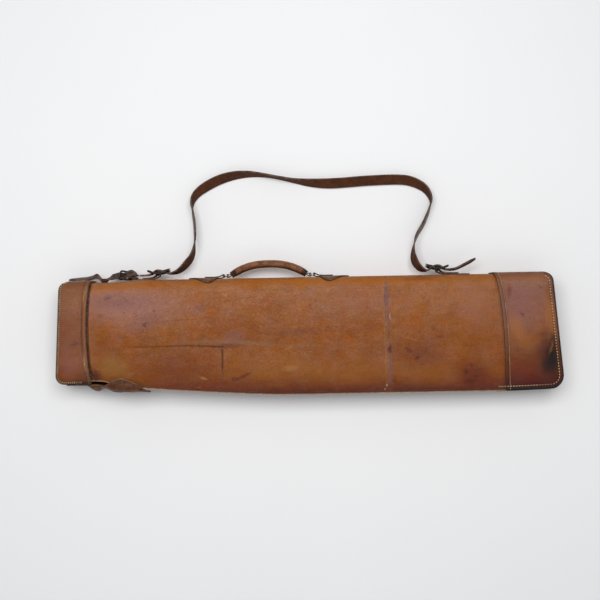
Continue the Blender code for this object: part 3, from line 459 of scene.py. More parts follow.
def rounded(item, width, segments=2, coat=2, angle=50):
    """Round a sheet's cut edges, and give them the raw edge's coat."""
    change = item.modifiers.new("rounded", "BEVEL")
    change.width = width * MM
    change.segments = segments
    change.limit_method = "ANGLE"
    change.angle_limit = math.radians(angle)
    change.material = coat
    return settle(item)


def leather_sheet(name, columns, rows, place, coats, shade=None, closed=False, edge=0.7):
    """A sheet of leather from place(column, row, layer), where layer 0 is its grain side.

    shade(column, row) gives how dark and how pale the grain is there. The coats are the grain side's, the
    flesh side's and the cut edge's.
    """
    mesh = bmesh.new()
    column_layer = mesh.verts.layers.int.new("column")
    row_layer = mesh.verts.layers.int.new("row")
    dark = mesh.verts.layers.float.new("dark")
    pale = mesh.verts.layers.float.new("pale")
    bmesh.ops.create_grid(mesh, x_segments=columns, y_segments=rows, size=0.5)
    for vertex in mesh.verts:
        vertex[column_layer] = round((vertex.co.x + 0.5) * columns)
        vertex[row_layer] = round((vertex.co.y + 0.5) * rows)
        vertex.co = place(vertex[column_layer], vertex[row_layer], 0)
        if shade:
            vertex[dark], vertex[pale] = shade(vertex[column_layer], vertex[row_layer])
    if closed:
        bmesh.ops.remove_doubles(mesh, verts=mesh.verts[:], dist=1e-4)
    grain = set(mesh.faces)
    grown = bmesh.ops.extrude_face_region(mesh, geom=mesh.faces[:], use_keep_orig=True)["geom"]
    flesh = {face for face in grown if isinstance(face, bmesh.types.BMFace)}
    for vertex in grown:
        if isinstance(vertex, bmesh.types.BMVert):
            vertex.co = place(vertex[column_layer], vertex[row_layer], 1)
    for face in mesh.faces:
        face.material_index = 0 if face in grain else 1 if face in flesh else 2
    return rounded(mesh_object(name, mesh, coats), edge)


def tube(name, points, radii, coat, cyclic=False, sides=14):
    """A round bar bent through the points, with its own radius at each."""
    data = bpy.data.curves.new(name, "CURVE")
    data.dimensions = "3D"
    data.bevel_depth = MM
    data.bevel_resolution = (sides - 2) // 4
    data.use_fill_caps = True
    spline = data.splines.new("POLY")
    spline.points.add(len(points) - 1)
    for knot, point, radius in zip(spline.points, points, radii):
        knot.co = (*(c * MM for c in point), 1.0)
        knot.radius = radius
    spline.use_cyclic_u = cyclic
    curve = bpy.data.objects.new(name, data)
    bpy.context.scene.collection.objects.link(curve)
    graph = bpy.context.evaluated_depsgraph_get()
    mesh = bmesh.new()
    mesh.from_mesh(bpy.data.meshes.new_from_object(curve.evaluated_get(graph)))
    bpy.data.objects.remove(curve)
    bmesh.ops.remove_doubles(mesh, verts=mesh.verts[:], dist=1e-7)
    bmesh.ops.scale(mesh, vec=(1 / MM, 1 / MM, 1 / MM), verts=mesh.verts[:])
    return mesh_object(name, mesh, [coat])


def stitches(name, track, coat, pitch=STITCH_PITCH, length=3.1, width=0.85, slant=12, start=0.0):
    """Sewing thread along a track of (point, outward direction) pairs: one slanted grain a stitch."""
    mesh = bmesh.new()
    travelled = -start
    count = 0
    for (here, outward), (there, _) in zip(track, track[1:]):
        ahead = there - here
        reach = ahead.length
        while travelled <= reach:
            if travelled >= 0:
                jitter = 6 * noise.noise(Vector((count * 0.7, 3.1, 0.5)))
                along = ahead.normalized()
                turn = Matrix.Rotation(math.radians(slant + jitter), 3, outward)
                along = turn @ along
                across = outward.cross(along).normalized()
                up = along.cross(across).normalized()
                spin = Matrix((along, across, up)).transposed().to_4x4()
                size = Matrix.Diagonal((length / 2, width / 2, width / 2, 1.0))
                at = Matrix.Translation(here + ahead * (travelled / reach))
                at = at @ spin @ size
                bmesh.ops.create_uvsphere(mesh, u_segments=8, v_segments=6, radius=1.0, matrix=at)
                count += 1
            travelled += pitch
        travelled -= reach
    return mesh_object(name, mesh, [coat], angle=180)


# ---------------------------------------------------------------- materials


class Paint:
    """A material's nodes, with a short method for each kind. Places are in millimetres along the frame."""

    def __init__(self, name):
        self.coat = bpy.data.materials.new(name)
        self.coat.use_nodes = True
        self.tree = self.coat.node_tree
        self.shader = self.tree.nodes["Principled BSDF"]
        place = self.node("ShaderNodeTexCoord").outputs["Object"]
        self.place = self.vector("MULTIPLY", place, (1000.0, 1000.0, 1000.0))
        split = self.node("ShaderNodeSeparateXYZ")
        self.feed(split.inputs[0], self.place)
        self.x, self.y, self.z = split.outputs

    def node(self, kind, **settings):
        made = self.tree.nodes.new(kind)
        for key, value in settings.items():
            setattr(made, key, value)
        return made

    def feed(self, socket, value):
        if isinstance(value, bpy.types.NodeSocket):
            self.tree.links.new(value, socket)
        else:
            socket.default_value = value

    def math(self, operation, *values):
        made = self.node("ShaderNodeMath", operation=operation)
        for socket, value in zip(made.inputs, values):
            self.feed(socket, value)
        return made.outputs[0]

    def vector(self, operation, *values):
        made = self.node("ShaderNodeVectorMath", operation=operation)
        for socket, value in zip(made.inputs, values):
            self.feed(socket, value)
        return made.outputs["Value"] if operation in ("LENGTH", "DISTANCE") else made.outputs[0]

    def attribute(self, name):
        return self.node("ShaderNodeAttribute", attribute_name=name).outputs["Fac"]

    def noise(self, size, detail=3.0, roughness=0.55, distortion=0.0, stretch=None):
        """Noise whose lumps are about that size, longer along an axis by its stretch."""
        made = self.node("ShaderNodeTexNoise")
        place = self.place
        if stretch:
            place = self.vector("DIVIDE", place, stretch)
        self.feed(made.inputs["Vector"], place)
        made.inputs["Scale"].default_value = 1.0 / size
        made.inputs["Detail"].default_value = detail
        made.inputs["Roughness"].default_value = roughness
        made.inputs["Distortion"].default_value = distortion
        return made.outputs["Fac"]

    def cells(self, size, feature="F1", randomness=1.0):
        made = self.node("ShaderNodeTexVoronoi", feature=feature)
        self.feed(made.inputs["Vector"], self.place)
        made.inputs["Scale"].default_value = 1.0 / size
        made.inputs["Randomness"].default_value = randomness
        return made.outputs["Distance"]

    def step(self, value, low, high):
        """0 below low, 1 above high, smooth between them; the other way round if low is above high."""
        made = self.node("ShaderNodeMapRange", interpolation_type="SMOOTHSTEP")
        self.feed(made.inputs["Value"], value)
        flip = low > high
        made.inputs["From Min"].default_value = min(low, high)
        made.inputs["From Max"].default_value = max(low, high)
        made.inputs["To Min"].default_value = 1.0 if flip else 0.0
        made.inputs["To Max"].default_value = 0.0 if flip else 1.0
        return made.outputs["Result"]

    def vary(self, colour, hue=0.5, saturation=1.0, value=1.0):
        """Turn a colour's hue (0.5 leaves it), and scale its strength and brightness."""
        made = self.node("ShaderNodeHueSaturation")
        self.feed(made.inputs["Hue"], hue)
        self.feed(made.inputs["Saturation"], saturation)
        self.feed(made.inputs["Value"], value)
        self.feed(made.inputs["Color"], colour)
        return made.outputs["Color"]

    def lumps(self, size, low, high, stretch=None, detail=4.0):
        """Noise stretched to run from low to high."""
        return self.range(self.step(self.noise(size, detail, 0.6, stretch=stretch), 0.3, 0.7), low, high)

    def range(self, value, low, high):
        """Turn a value from 0 to 1 into one from low to high."""
        return self.math("MULTIPLY_ADD", value, high - low, low)

    def blend(self, share, first, second, mode="MIX"):
        made = self.node("ShaderNodeMix", data_type="RGBA", blend_type=mode)
        self.feed(made.inputs["Factor"], share)
        self.feed(made.inputs[6], first)
        self.feed(made.inputs[7], second)
        return made.outputs[2]

    def ramp(self, value, colours):
        """A run of colours over a value: a list of (value, colour)."""
        low, high = colours[0][0], colours[-1][0]
        made = self.node("ShaderNodeValToRGB")
        self.feed(made.inputs[0], self.math("DIVIDE", self.math("SUBTRACT", value, low), high - low))
        stops_made = made.color_ramp.elements
        for place, colour in colours[1:-1]:
            stops_made.new((place - low) / (high - low))
        for element, (place, colour) in zip(stops_made, colours):
            element.position = (place - low) / (high - low)
            element.color = colour
        return made.outputs["Color"]

    def blot(self, centre, half, angle=0.0, soft=0.6):
        """1 inside an ellipse on the front or back face, fading at its uneven edge."""
        made = self.node("ShaderNodeMapping", vector_type="TEXTURE")
        self.feed(made.inputs["Vector"], self.rough_place)
        made.inputs["Location"].default_value = (*centre, 0.0)
        made.inputs["Rotation"].default_value = (0.0, 0.0, math.radians(angle))
        made.inputs["Scale"].default_value = (*half, 1.0)
        flat = self.vector("MULTIPLY", made.outputs["Vector"], (1.0, 1.0, 0.0))
        return self.step(self.vector("LENGTH", flat), 1.0 + soft, 1.0 - soft)

    def roughen_places(self, size, reach):
        """Shift places by noise, so that the blots made next have uneven edges."""
        made = self.node("ShaderNodeTexNoise")
        self.feed(made.inputs["Vector"], self.place)
        made.inputs["Scale"].default_value = 1.0 / size
        made.inputs["Detail"].default_value = 4.0
        shift = self.vector("MULTIPLY", made.outputs["Color"], (2 * reach, 2 * reach, 0.0))
        shift = self.vector("SUBTRACT", shift, (reach, reach, 0.0))
        self.rough_place = self.vector("ADD", self.place, shift)

    def bump(self, height, depth, over=None):
        """Relief of that depth in millimetres where the height goes from 0 to 1."""
        made = self.node("ShaderNodeBump")
        made.inputs["Strength"].default_value = 1.0
        made.inputs["Distance"].default_value = depth * MM
        self.feed(made.inputs["Height"], height)
        if over:
            self.feed(made.inputs["Normal"], over)
        return made.outputs["Normal"]

    def finish(self, colour, roughness, normal=None, **settings):
        """Wire up the shader. The settings are the same all over the surface."""
        self.feed(self.shader.inputs["Base Color"], colour)
        self.feed(self.shader.inputs["Roughness"], roughness)
        if normal:
            self.feed(self.shader.inputs["Normal"], normal)
        for key, value in settings.items():
            self.shader.inputs[key.replace("_", " ")].default_value = value
        return self.coat


def srgb(red, green, blue):
    """A colour given as it looks on a screen, 0 to 255, as the linear one that a shader takes."""
    linear = []
    for value in (red, green, blue):
        share = value / 255
        linear.append(share / 12.92 if share <= 0.04045 else ((share + 0.055) / 1.055) ** 2.4)
    return (*linear, 1.0)


LEATHER_SHINE = 0.25
SHEEN = 0.014  # the even reflection that the studio's light lays over leather


def hide(red, green, blue):
    """Leather's own colour, given as it looks on a screen once the light's reflection lies over it."""
    return (*(max(0.002, value - SHEEN) for value in srgb(red, green, blue)[:3]), 1.0)


def leather_grain(paint, size=0.9, depth=0.09, creases=0.12):
    """The normal of worn leather: pores, fine creases and a slight unevenness."""
    uneven = paint.bump(paint.noise(9.0, 2.0), 0.5)
    crease = paint.noise(3.2, 5.0, 0.6, distortion=1.2, stretch=(1.6, 0.9, 1.0))
    near_crease = paint.math("ABSOLUTE", paint.math("SUBTRACT", crease, 0.5))
    lined = paint.bump(paint.step(near_crease, 0.0, 0.06), creases, uneven)
    pores = paint.bump(paint.step(paint.cells(size), 0.05, 0.55), depth, lined)
    return paint.bump(paint.noise(0.45, 2.0), 0.05, pores)


def front_marks(paint, colour, marks):
    """Paint marks on the front face only: each a colour, how strong it is, and its blot."""
    front = paint.step(paint.z, 56.0, 66.0)
    for tone, strength, blot in marks:
        share = paint.math("MULTIPLY", paint.math("MULTIPLY", paint.blot(*blot), strength), front)
        colour = paint.blend(share, colour, tone)
    return colour


def mottle(paint, colour, strength=1.0):
    """Clouds, patches, streaks and pores, in hue and in brightness, with dark specks and fine scratches."""

    def around(size, reach, stretch=None, detail=4.0):
        return paint.lumps(size, 1 - reach * strength, 1 + reach * strength, stretch, detail)

    value = paint.math("MULTIPLY", around(75.0, 0.05), around(13.0, 0.06, (1.5, 1.0, 1.0)))
    value = paint.math("MULTIPLY", value, around(5.0, 0.07, (4.5, 1.0, 1.0)))
    value = paint.math("MULTIPLY", value, around(1.9, 0.17))
    value = paint.math("MULTIPLY", value, around(34.0, 0.04, (1.0, 1.3, 1.0)))
    turn = paint.lumps(9.0, -0.003, 0.002, (2.0, 1.0, 1.0))
    hue = paint.math("ADD", paint.lumps(41.0, 0.497, 0.503), turn)
    colour = paint.vary(colour, hue, around(26.0, 0.05), value)
    specks = paint.step(paint.noise(2.4, 3.0, 0.7), 0.61, 0.72)
    colour = paint.blend(paint.math("MULTIPLY", specks, 0.6 * strength), colour, hide(70, 34, 20))
    streaks = paint.noise(2.6, 3.0, 0.6, distortion=0.4, stretch=(14.0, 1.0, 1.0))
    dark_lines = paint.step(streaks, 0.68, 0.76)
    colour = paint.blend(paint.math("MULTIPLY", dark_lines, 0.35), colour, hide(84, 40, 24))
    pale_lines = paint.step(paint.noise(2.1, 2.0, 0.6, distortion=0.3, stretch=(10.0, 1.0, 1.0)), 0.7, 0.78)
    return paint.blend(paint.math("MULTIPLY", pale_lines, 0.4), colour, hide(186, 134, 88))


def spotted(paint, colour, tone, area, size=5.0, strength=0.6):
    """Small dark spots scattered over one area of the front."""
    spots = paint.step(paint.cells(size), 0.26, 0.1)
    spots = paint.math("MULTIPLY", spots, paint.step(paint.noise(14.0, 2.0), 0.42, 0.6))
    share = paint.math("MULTIPLY", paint.math("MULTIPLY", spots, strength), paint.blot(*area))
    share = paint.math("MULTIPLY", share, paint.step(paint.z, 56.0, 66.0))
    return paint.blend(share, colour, tone)


def edge_shades(paint, colour, dark_tone, pale_tone):
    """Darken and lighten where the mesh says that the grain is dark or pale: darker edges and leather,
    painted shade in creases, grooves and gaps, paler cut edges and wear, and painted highlights.
    """
    broken = paint.step(paint.noise(3.0, 4.0, 0.65), 0.35, 0.65)
    dark = paint.math("MULTIPLY", paint.attribute("dark"), paint.range(broken, 0.7, 1.0))
    pale = paint.math("MULTIPLY", paint.attribute("pale"), paint.range(broken, 0.25, 1.0))
    return paint.blend(pale, paint.blend(dark, colour, dark_tone), pale_tone)


def leather_finish(paint, colour, low=0.36, high=0.58, grain=()):
    """Worn leather in that colour, with its gloss between two roughnesses."""
    normal = leather_grain(paint, *grain)
    gloss = paint.lumps(12.0, low, high)
    return paint.finish(colour, gloss, normal, Specular_IOR_Level=LEATHER_SHINE)


# The front's colour by height: darker towards the bottom, partly grime and partly painted shade where the
# front turns away from the light, and lighter near the top fold, a painted highlight.
BODY_TONES = [
    (-98.0, hide(80, 40, 20)),
    (-89.0, hide(98, 50, 23)),
    (-80.0, hide(116, 62, 31)),
    (-66.0, hide(129, 74, 37)),
    (-41.0, hide(138, 81, 41)),
    (-9.0, hide(138, 81, 42)),
    (23.0, hide(143, 86, 47)),
    (55.0, hide(148, 92, 55)),
    (73.0, hide(152, 97, 58)),
    (81.0, hide(154, 95, 46)),
    (94.0, hide(150, 90, 42)),
]


def body_leather():
    paint = Paint("russet_leather")
    paint.roughen_places(6.0, 3.0)
    colour = paint.ramp(paint.y, BODY_TONES)
    colour = mottle(paint, colour)
    mauve, plum, wine = hide(158, 112, 98), hide(88, 50, 52), hide(100, 44, 26)
    grey, sand, dusk, violet = hide(126, 104, 82), hide(176, 124, 78), hide(66, 32, 24), hide(122, 84, 82)
    olive, gold, amber = hide(146, 104, 50), hide(150, 94, 44), hide(164, 96, 40)
    marks = [
        # The mauve blots on the upper front, here and at X 268 and X 60, are a painted sheen.
        (mauve, 0.8, ((-292.0, 50.0), (80.0, 26.0), -4.0, 0.8)),
        (violet, 0.5, ((-300.0, 56.0), (46.0, 12.0), 0.0, 0.9)),
        (violet, 0.45, ((-262.0, 24.0), (26.0, 12.0), 20.0, 0.9)),
        (mauve, 0.35, ((268.0, 45.0), (26.0, 34.0), 10.0, 0.9)),
        (mauve, 0.2, ((60.0, 52.0), (70.0, 22.0), 0.0, 0.9)),
        # The amber strips along the top fold are a painted highlight where the fold catches the light.
        (amber, 0.6, ((-306.0, 80.0), (46.0, 4.5), 0.0, 0.7)),
        (amber, 0.5, ((10.0, 84.0), (120.0, 5.0), 0.0, 0.7)),
        (amber, 0.5, ((165.0, 82.0), (60.0, 5.0), 0.0, 0.7)),
        (wine, 0.35, ((178.0, 86.0), (24.0, 4.0), 0.0, 0.7)),
        (olive, 0.55, ((-316.0, -46.0), (20.0, 14.0), -30.0, 0.9)),
        (gold, 0.4, ((-60.0, -50.0), (60.0, 22.0), 0.0, 0.8)),
        (gold, 0.4, ((60.0, -62.0), (70.0, 16.0), 0.0, 0.8)),
        (gold, 0.35, ((200.0, -66.0), (44.0, 16.0), 0.0, 0.8)),
        (wine, 0.4, ((-205.0, -50.0), (56.0, 24.0), 4.0, 0.8)),
        (wine, 0.3, ((-190.0, -82.0), (110.0, 8.0), 3.0, 0.8)),
        (wine, 0.45, ((172.0, -34.0), (36.0, 18.0), -12.0, 0.9)),
        (wine, 0.7, ((262.0, -70.0), (26.0, 17.0), -24.0, 0.8)),
        (wine, 0.35, ((292.0, -84.0), (20.0, 8.0), 0.0, 0.8)),
        (wine, 0.3, ((-20.0, 4.0), (50.0, 5.0), 3.0, 0.9)),
        (dusk, 0.55, ((256.0, -80.0), (9.0, 3.0), 0.0, 0.9)),
        (dusk, 0.6, ((250.0, -65.0), (3.4, 4.0), 20.0, 0.8)),
        (dusk, 0.5, ((266.0, -73.0), (3.0, 2.4), 0.0, 0.8)),
        (dusk, 0.4, ((260.0, -54.5), (2.4, 3.0), 0.0, 0.8)),
        # This dusk blot is a painted shadow in the body's lower corner beside the lid's mouth.
        (dusk, 0.8, ((-344.0, -62.0), (10.0, 9.0), -35.0, 0.8)),
        (plum, 0.85, ((-119.6, -70.0), (5.2, 3.0), 8.0, 0.4)),
        (hide(140, 84, 50), 0.5, ((-120.4, -69.6), (2.2, 1.0), 8.0, 0.5)),
        (wine, 0.75, ((-104.0, -64.8), (11.0, 2.4), 26.0, 0.8)),
        (sand, 0.65, ((-170.0, -68.0), (5.0, 1.6), -14.0, 0.8)),
        (sand, 0.4, ((-31.0, -54.0), (11.0, 4.0), 4.0, 0.9)),
        (plum, 0.6, ((-262.5, 20.0), (4.0, 2.6), 50.0, 0.8)),
        (plum, 0.5, ((-247.0, 41.0), (2.2, 1.4), 0.0, 0.8)),
        (plum, 0.45, ((-321.0, 64.0), (6.0, 3.5), 10.0, 0.9)),
        (plum, 0.35, ((-334.0, 35.0), (5.0, 3.0), 0.0, 0.9)),
        (plum, 0.55, ((-131.0, -17.0), (20.0, 4.0), 4.0, 0.9)),
        (violet, 0.45, ((-120.0, -2.0), (16.0, 9.0), 20.0, 0.9)),
        (violet, 0.4, ((-176.0, 44.0), (9.0, 7.0), 0.0, 0.9)),
        (grey, 0.5, ((-150.0, -9.5), (40.0, 2.2), -1.0, 0.9)),
        (grey, 0.45, ((-78.0, -14.5), (36.0, 2.4), -6.0, 0.9)),
        (grey, 0.3, ((-20.0, -18.0), (22.0, 2.0), 0.0, 0.9)),
        (dusk, 0.5, ((155.8, -26.0), (4.6, 1.6), -35.0, 0.8)),
        (dusk, 0.45, ((161.5, -31.0), (3.0, 1.8), -20.0, 0.8)),
        (dusk, 0.6, ((173.0, -41.0), (3.6, 2.6), 30.0, 0.8)),
        (dusk, 0.3, ((186.0, -30.0), (5.0, 1.6), 60.0, 0.8)),
        (plum, 0.35, ((145.4, 64.7), (1.6, 4.4), 0.0, 0.8)),
        (plum, 0.5, ((209.8, -8.0), (5.6, 2.0), 6.0, 0.8)),
        (plum, 0.4, ((200.0, 6.0), (3.0, 3.4), 30.0, 0.8)),
        (sand, 0.4, ((-34.5, -22.4), (7.6, 0.8), 34.0, 0.8)),
        (sand, 0.4, ((-5.0, -33.0), (7.0, 0.7), -50.0, 0.8)),
        (sand, 0.35, ((-11.0, -31.0), (6.0, 0.6), -50.0, 0.8)),
        (dusk, 0.5, ((4.0, 42.0), (7.0, 0.8), -62.0, 0.7)),
        (wine, 0.3, ((-110.0, 58.0), (26.0, 1.1), 8.0, 0.8)),
        (wine, 0.25, ((-212.0, 25.0), (26.0, 1.0), 3.0, 0.8)),
        (sand, 0.3, ((168.0, -12.0), (14.0, 0.8), -14.0, 0.8)),
    ]
    colour = front_marks(paint, colour, marks)
    colour = front_marks(paint, colour, worn_band_marks())
    colour = spotted(paint, colour, plum, ((-285.0, 44.0), (66.0, 40.0), 0.0, 0.5), 6.0, 0.7)
    colour = spotted(paint, colour, dusk, ((176.0, -34.0), (40.0, 24.0), -10.0, 0.5))
    colour = spotted(paint, colour, dusk, ((262.0, -72.0), (30.0, 20.0), -20.0, 0.5))
    colour = spotted(paint, colour, wine, ((-70.0, -64.0), (70.0, 26.0), 0.0, 0.5), 4.5, 0.5)
    colour = spotted(paint, colour, dusk, ((-40.0, 20.0), (330.0, 70.0), 0.0, 0.3), 8.0, 0.35)
    colour = edge_shades(paint, colour, hide(40, 18, 10), hide(204, 166, 120))
    return leather_finish(paint, colour)


def worn_band_marks():
    """The worn band that runs down the body between its middle and the boot."""
    slate, umber, cream = hide(100, 78, 84), hide(70, 34, 20), hide(196, 166, 132)
    dust = hide(150, 112, 84)
    return [
        (dust, 0.22, ((126.0, -8.0), (4.6, 84.0), 1.2, 0.6)),
        (slate, 0.65, ((125.6, 62.0), (3.6, 18.0), 0.0, 0.7)),
        (slate, 0.5, ((126.4, 26.0), (3.0, 20.0), 2.0, 0.9)),
        (umber, 0.75, ((129.0, -26.5), (3.0, 6.6), 0.0, 0.7)),
        (umber, 0.35, ((127.6, -2.0), (2.0, 7.0), 0.0, 0.9)),
        (slate, 0.4, ((130.0, -58.0), (4.6, 24.0), 0.0, 0.9)),
        (umber, 0.4, ((136.0, -76.0), (2.4, 4.0), 0.0, 0.8)),
        (umber, 0.35, ((128.0, -86.0), (3.0, 3.0), 0.0, 0.8)),
        (cream, 0.6, ((130.0, 27.0), (0.8, 4.6), 0.0, 0.8)),
        (cream, 0.45, ((123.4, 14.0), (0.7, 3.4), 0.0, 0.8)),
        (cream, 0.7, ((123.6, -84.0), (1.2, 1.2), 0.0, 0.7)),
        (cream, 0.7, ((120.2, -91.0), (1.1, 1.2), 0.0, 0.7)),
        (umber, 0.3, ((123.0, 30.0), (0.6, 50.0), 1.0, 0.8)),
        (dust, 0.5, ((121.2, -10.0), (0.5, 84.0), 1.0, 0.8)),
    ]


def lid_leather():
    paint = Paint("lid_leather")
    paint.roughen_places(6.0, 2.0)
    # The lid's colour by height: darker towards the bottom, partly painted shade.
    tones = [
        (-76.0, hide(64, 36, 22)),
        (-69.0, hide(98, 56, 34)),
        (-58.0, hide(114, 65, 40)),
        (-40.0, hide(128, 80, 55)),
        (-9.0, hide(126, 79, 55)),
        (23.0, hide(129, 81, 57)),
        (55.0, hide(139, 91, 67)),
        (78.0, hide(134, 85, 57)),
        (94.0, hide(110, 68, 42)),
    ]
    colour = paint.ramp(paint.y, tones)
    colour = mottle(paint, colour, 0.7)
    violet, rose, rust = hide(84, 58, 58), hide(140, 90, 78), hide(132, 74, 38)
    marks = [
        (violet, 0.65, ((-374.5, -9.5), (7.0, 2.2), 14.0, 0.8)),
        # The rose blot low on the lid is a painted sheen.
        (rose, 0.45, ((-384.0, -44.0), (12.0, 20.0), 0.0, 0.9)),
        (rust, 0.45, ((-362.0, 40.0), (5.0, 44.0), 0.0, 0.9)),
        (rust, 0.4, ((-390.0, -62.0), (12.0, 6.0), 0.0, 0.9)),
    ]
    colour = front_marks(paint, colour, marks)
    colour = edge_shades(paint, colour, hide(48, 42, 38), hide(184, 148, 104))
    return leather_finish(paint, colour, 0.4, 0.6)


def boot_leather():
    paint = Paint("boot_leather")
    paint.roughen_places(7.0, 4.0)
    # The boot's colour by height: darker towards the bottom, partly painted shade where it turns away from
    # the light.
    tones = [
        (-97.0, hide(58, 30, 18)),
        (-88.0, hide(76, 37, 20)),
        (-80.0, hide(88, 42, 23)),
        (-66.0, hide(104, 52, 28)),
        (-41.0, hide(119, 65, 35)),
        (-9.0, hide(130, 78, 51)),
        (23.0, hide(140, 91, 67)),
        (55.0, hide(138, 92, 69)),
        (75.0, hide(146, 103, 80)),
        (86.0, hide(140, 90, 60)),
        (95.0, hide(118, 70, 42)),
    ]
    colour = paint.ramp(paint.y, tones)
    colour = mottle(paint, colour)
    mauve, amber, ink, rust = hide(134, 90, 82), hide(158, 100, 52), hide(38, 30, 34), hide(106, 48, 28)
    plum, bruise = hide(92, 44, 42), hide(86, 48, 38)
    marks = [
        (mauve, 0.75, ((338.0, 40.0), (22.0, 34.0), 14.0, 0.9)),
        (mauve, 0.5, ((364.0, 58.0), (22.0, 12.0), -10.0, 0.9)),
        (amber, 0.55, ((334.0, 2.0), (9.0, 20.0), 20.0, 0.9)),
        (amber, 0.6, ((388.0, 24.0), (8.0, 34.0), 6.0, 0.9)),
        (amber, 0.35, ((352.0, -20.0), (16.0, 10.0), 0.0, 0.9)),
        (rust, 0.4, ((345.0, -62.0), (30.0, 14.0), 0.0, 0.9)),
        (rust, 0.4, ((392.0, 64.0), (10.0, 20.0), 0.0, 0.9)),
        (bruise, 0.7, ((381.0, -44.0), (17.0, 28.0), 0.0, 0.9)),
        (ink, 0.5, ((386.0, -46.0), (13.0, 30.0), 4.0, 0.9)),
        (ink, 0.85, ((389.0, -49.0), (9.0, 18.0), 6.0, 0.9)),
        (ink, 0.75, ((390.5, -36.0), (5.0, 17.0), 3.0, 0.9)),
        (ink, 0.6, ((392.0, -15.0), (4.0, 8.0), 15.0, 0.9)),
        (ink, 0.5, ((378.0, -58.0), (7.0, 8.0), 0.0, 0.9)),
        (amber, 0.4, ((388.0, -28.0), (1.6, 10.0), -16.0, 0.8)),
        (plum, 0.6, ((342.0, 25.0), (3.6, 1.8), -50.0, 0.9)),
        (plum, 0.45, ((322.0, 62.0), (3.0, 10.0), 0.0, 0.9)),
        (plum, 0.4, ((372.0, 70.0), (5.0, 1.4), -30.0, 0.9)),
    ]
    colour = front_marks(paint, colour, marks)
    colour = spotted(paint, colour, plum, ((350.0, 30.0), (44.0, 56.0), 0.0, 0.4), 5.0, 0.55)
    colour = edge_shades(paint, colour, hide(28, 20, 17), hide(170, 124, 84))
    return leather_finish(paint, colour)


def strap_leather(name, deep, light, wear_and_highlight_tone):
    """Dark strap leather whose high places are worn lighter; the same pale tone also paints the highlights
    that the mesh marks.
    """
    paint = Paint(name)
    clouds = paint.step(paint.noise(11.0, 4.0, 0.6), 0.3, 0.72)
    colour = paint.blend(clouds, deep, light)
    worn = paint.step(paint.noise(3.5, 5.0, 0.7), 0.56, 0.76)
    colour = paint.blend(paint.math("MULTIPLY", worn, 0.5), colour, wear_and_highlight_tone)
    colour = edge_shades(paint, colour, hide(34, 22, 17), wear_and_highlight_tone)
    return leather_finish(paint, colour, 0.34, 0.6, (0.7, 0.08, 0.16))


def flesh_side(name, tone, fleck):
    """The suede-like inner side of a hide."""
    paint = Paint(name)
    nap = paint.noise(1.2, 5.0, 0.7)
    colour = paint.blend(paint.step(nap, 0.35, 0.7), tone, fleck)
    clouds = paint.math("MULTIPLY", paint.lumps(22.0, 0.74, 1.24), paint.lumps(5.0, 0.85, 1.15))
    colour = paint.vary(colour, 0.5, 1.0, clouds)
    normal = paint.bump(nap, 0.25, paint.bump(paint.noise(6.0, 3.0), 0.4))
    return paint.finish(colour, paint.range(nap, 0.75, 0.95), normal, Specular_IOR_Level=LEATHER_SHINE)


def cut_edge(name, tone, deep):
    """The fibrous cut edge of leather, in layers that run along it."""
    paint = Paint(name)
    fibres = paint.noise(0.9, 4.0, 0.7, stretch=(8.0, 8.0, 1.0))
    dirt = paint.step(paint.noise(9.0, 4.0, 0.65), 0.38, 0.66)
    colour = paint.blend(dirt, tone, deep)
    colour = paint.blend(paint.math("MULTIPLY", paint.step(fibres, 0.5, 0.7), 0.6), colour, deep)
    return paint.finish(colour, paint.range(fibres, 0.55, 0.85), paint.bump(fibres, 0.15))


def thread(name, tone, grime):
    """Waxed linen thread, dirty in places."""
    paint = Paint(name)
    dirt = paint.step(paint.noise(14.0, 3.0, 0.6), 0.36, 0.68)
    colour = paint.blend(dirt, tone, grime)
    strands = paint.node("ShaderNodeTexWave", wave_type="BANDS", bands_direction="DIAGONAL")
    paint.feed(strands.inputs["Vector"], paint.place)
    strands.inputs["Scale"].default_value = 0.9
    return paint.finish(colour, paint.range(dirt, 0.6, 0.8), paint.bump(strands.outputs["Fac"], 0.12))


def metal(name, dark, bright, share, rough=(0.25, 0.55)):
    """Old plated steel: dark, with bright metal where it has been rubbed."""
    paint = Paint(name)
    rubbed = paint.step(paint.noise(2.4, 5.0, 0.65), 0.62 - share, 0.8 - share)
    colour = paint.blend(rubbed, dark, bright)
    pits = paint.noise(0.6, 4.0, 0.7)
    gloss = paint.range(paint.step(pits, 0.3, 0.75), *rough)
    normal = paint.bump(pits, 0.06, paint.bump(paint.noise(3.0, 2.0), 0.1))
    return paint.finish(colour, gloss, normal, Metallic=0.9)


def woven_cloth():
    """The lining's plain cotton weave."""
    paint = Paint("lining_cloth")
    threads = []
    for axis in (paint.x, paint.y):
        wave = paint.math("SINE", paint.math("MULTIPLY", axis, 2 * math.pi / 0.9))
        threads.append(paint.math("MULTIPLY_ADD", wave, 0.5, 0.5))
    weave = paint.math("MAXIMUM", *threads)
    stains = paint.step(paint.noise(38.0, 4.0, 0.6), 0.4, 0.7)
    colour = paint.blend(stains, srgb(158, 138, 104), srgb(122, 100, 70))
    colour = paint.blend(paint.math("MULTIPLY", weave, 0.3), srgb(96, 80, 56), colour, "SCREEN")
    return paint.finish(colour, paint.range(weave, 0.8, 0.95), paint.bump(weave, 0.2))


def fibre_board():
    """Grey-brown millboard with flecks."""
    paint = Paint("board")
    fleck = paint.noise(1.8, 5.0, 0.75, stretch=(3.0, 3.0, 1.0))
    colour = paint.blend(paint.step(fleck, 0.35, 0.68), srgb(128, 104, 78), srgb(158, 136, 106))
    return paint.finish(colour, paint.range(fleck, 0.75, 0.95), paint.bump(fleck, 0.12))


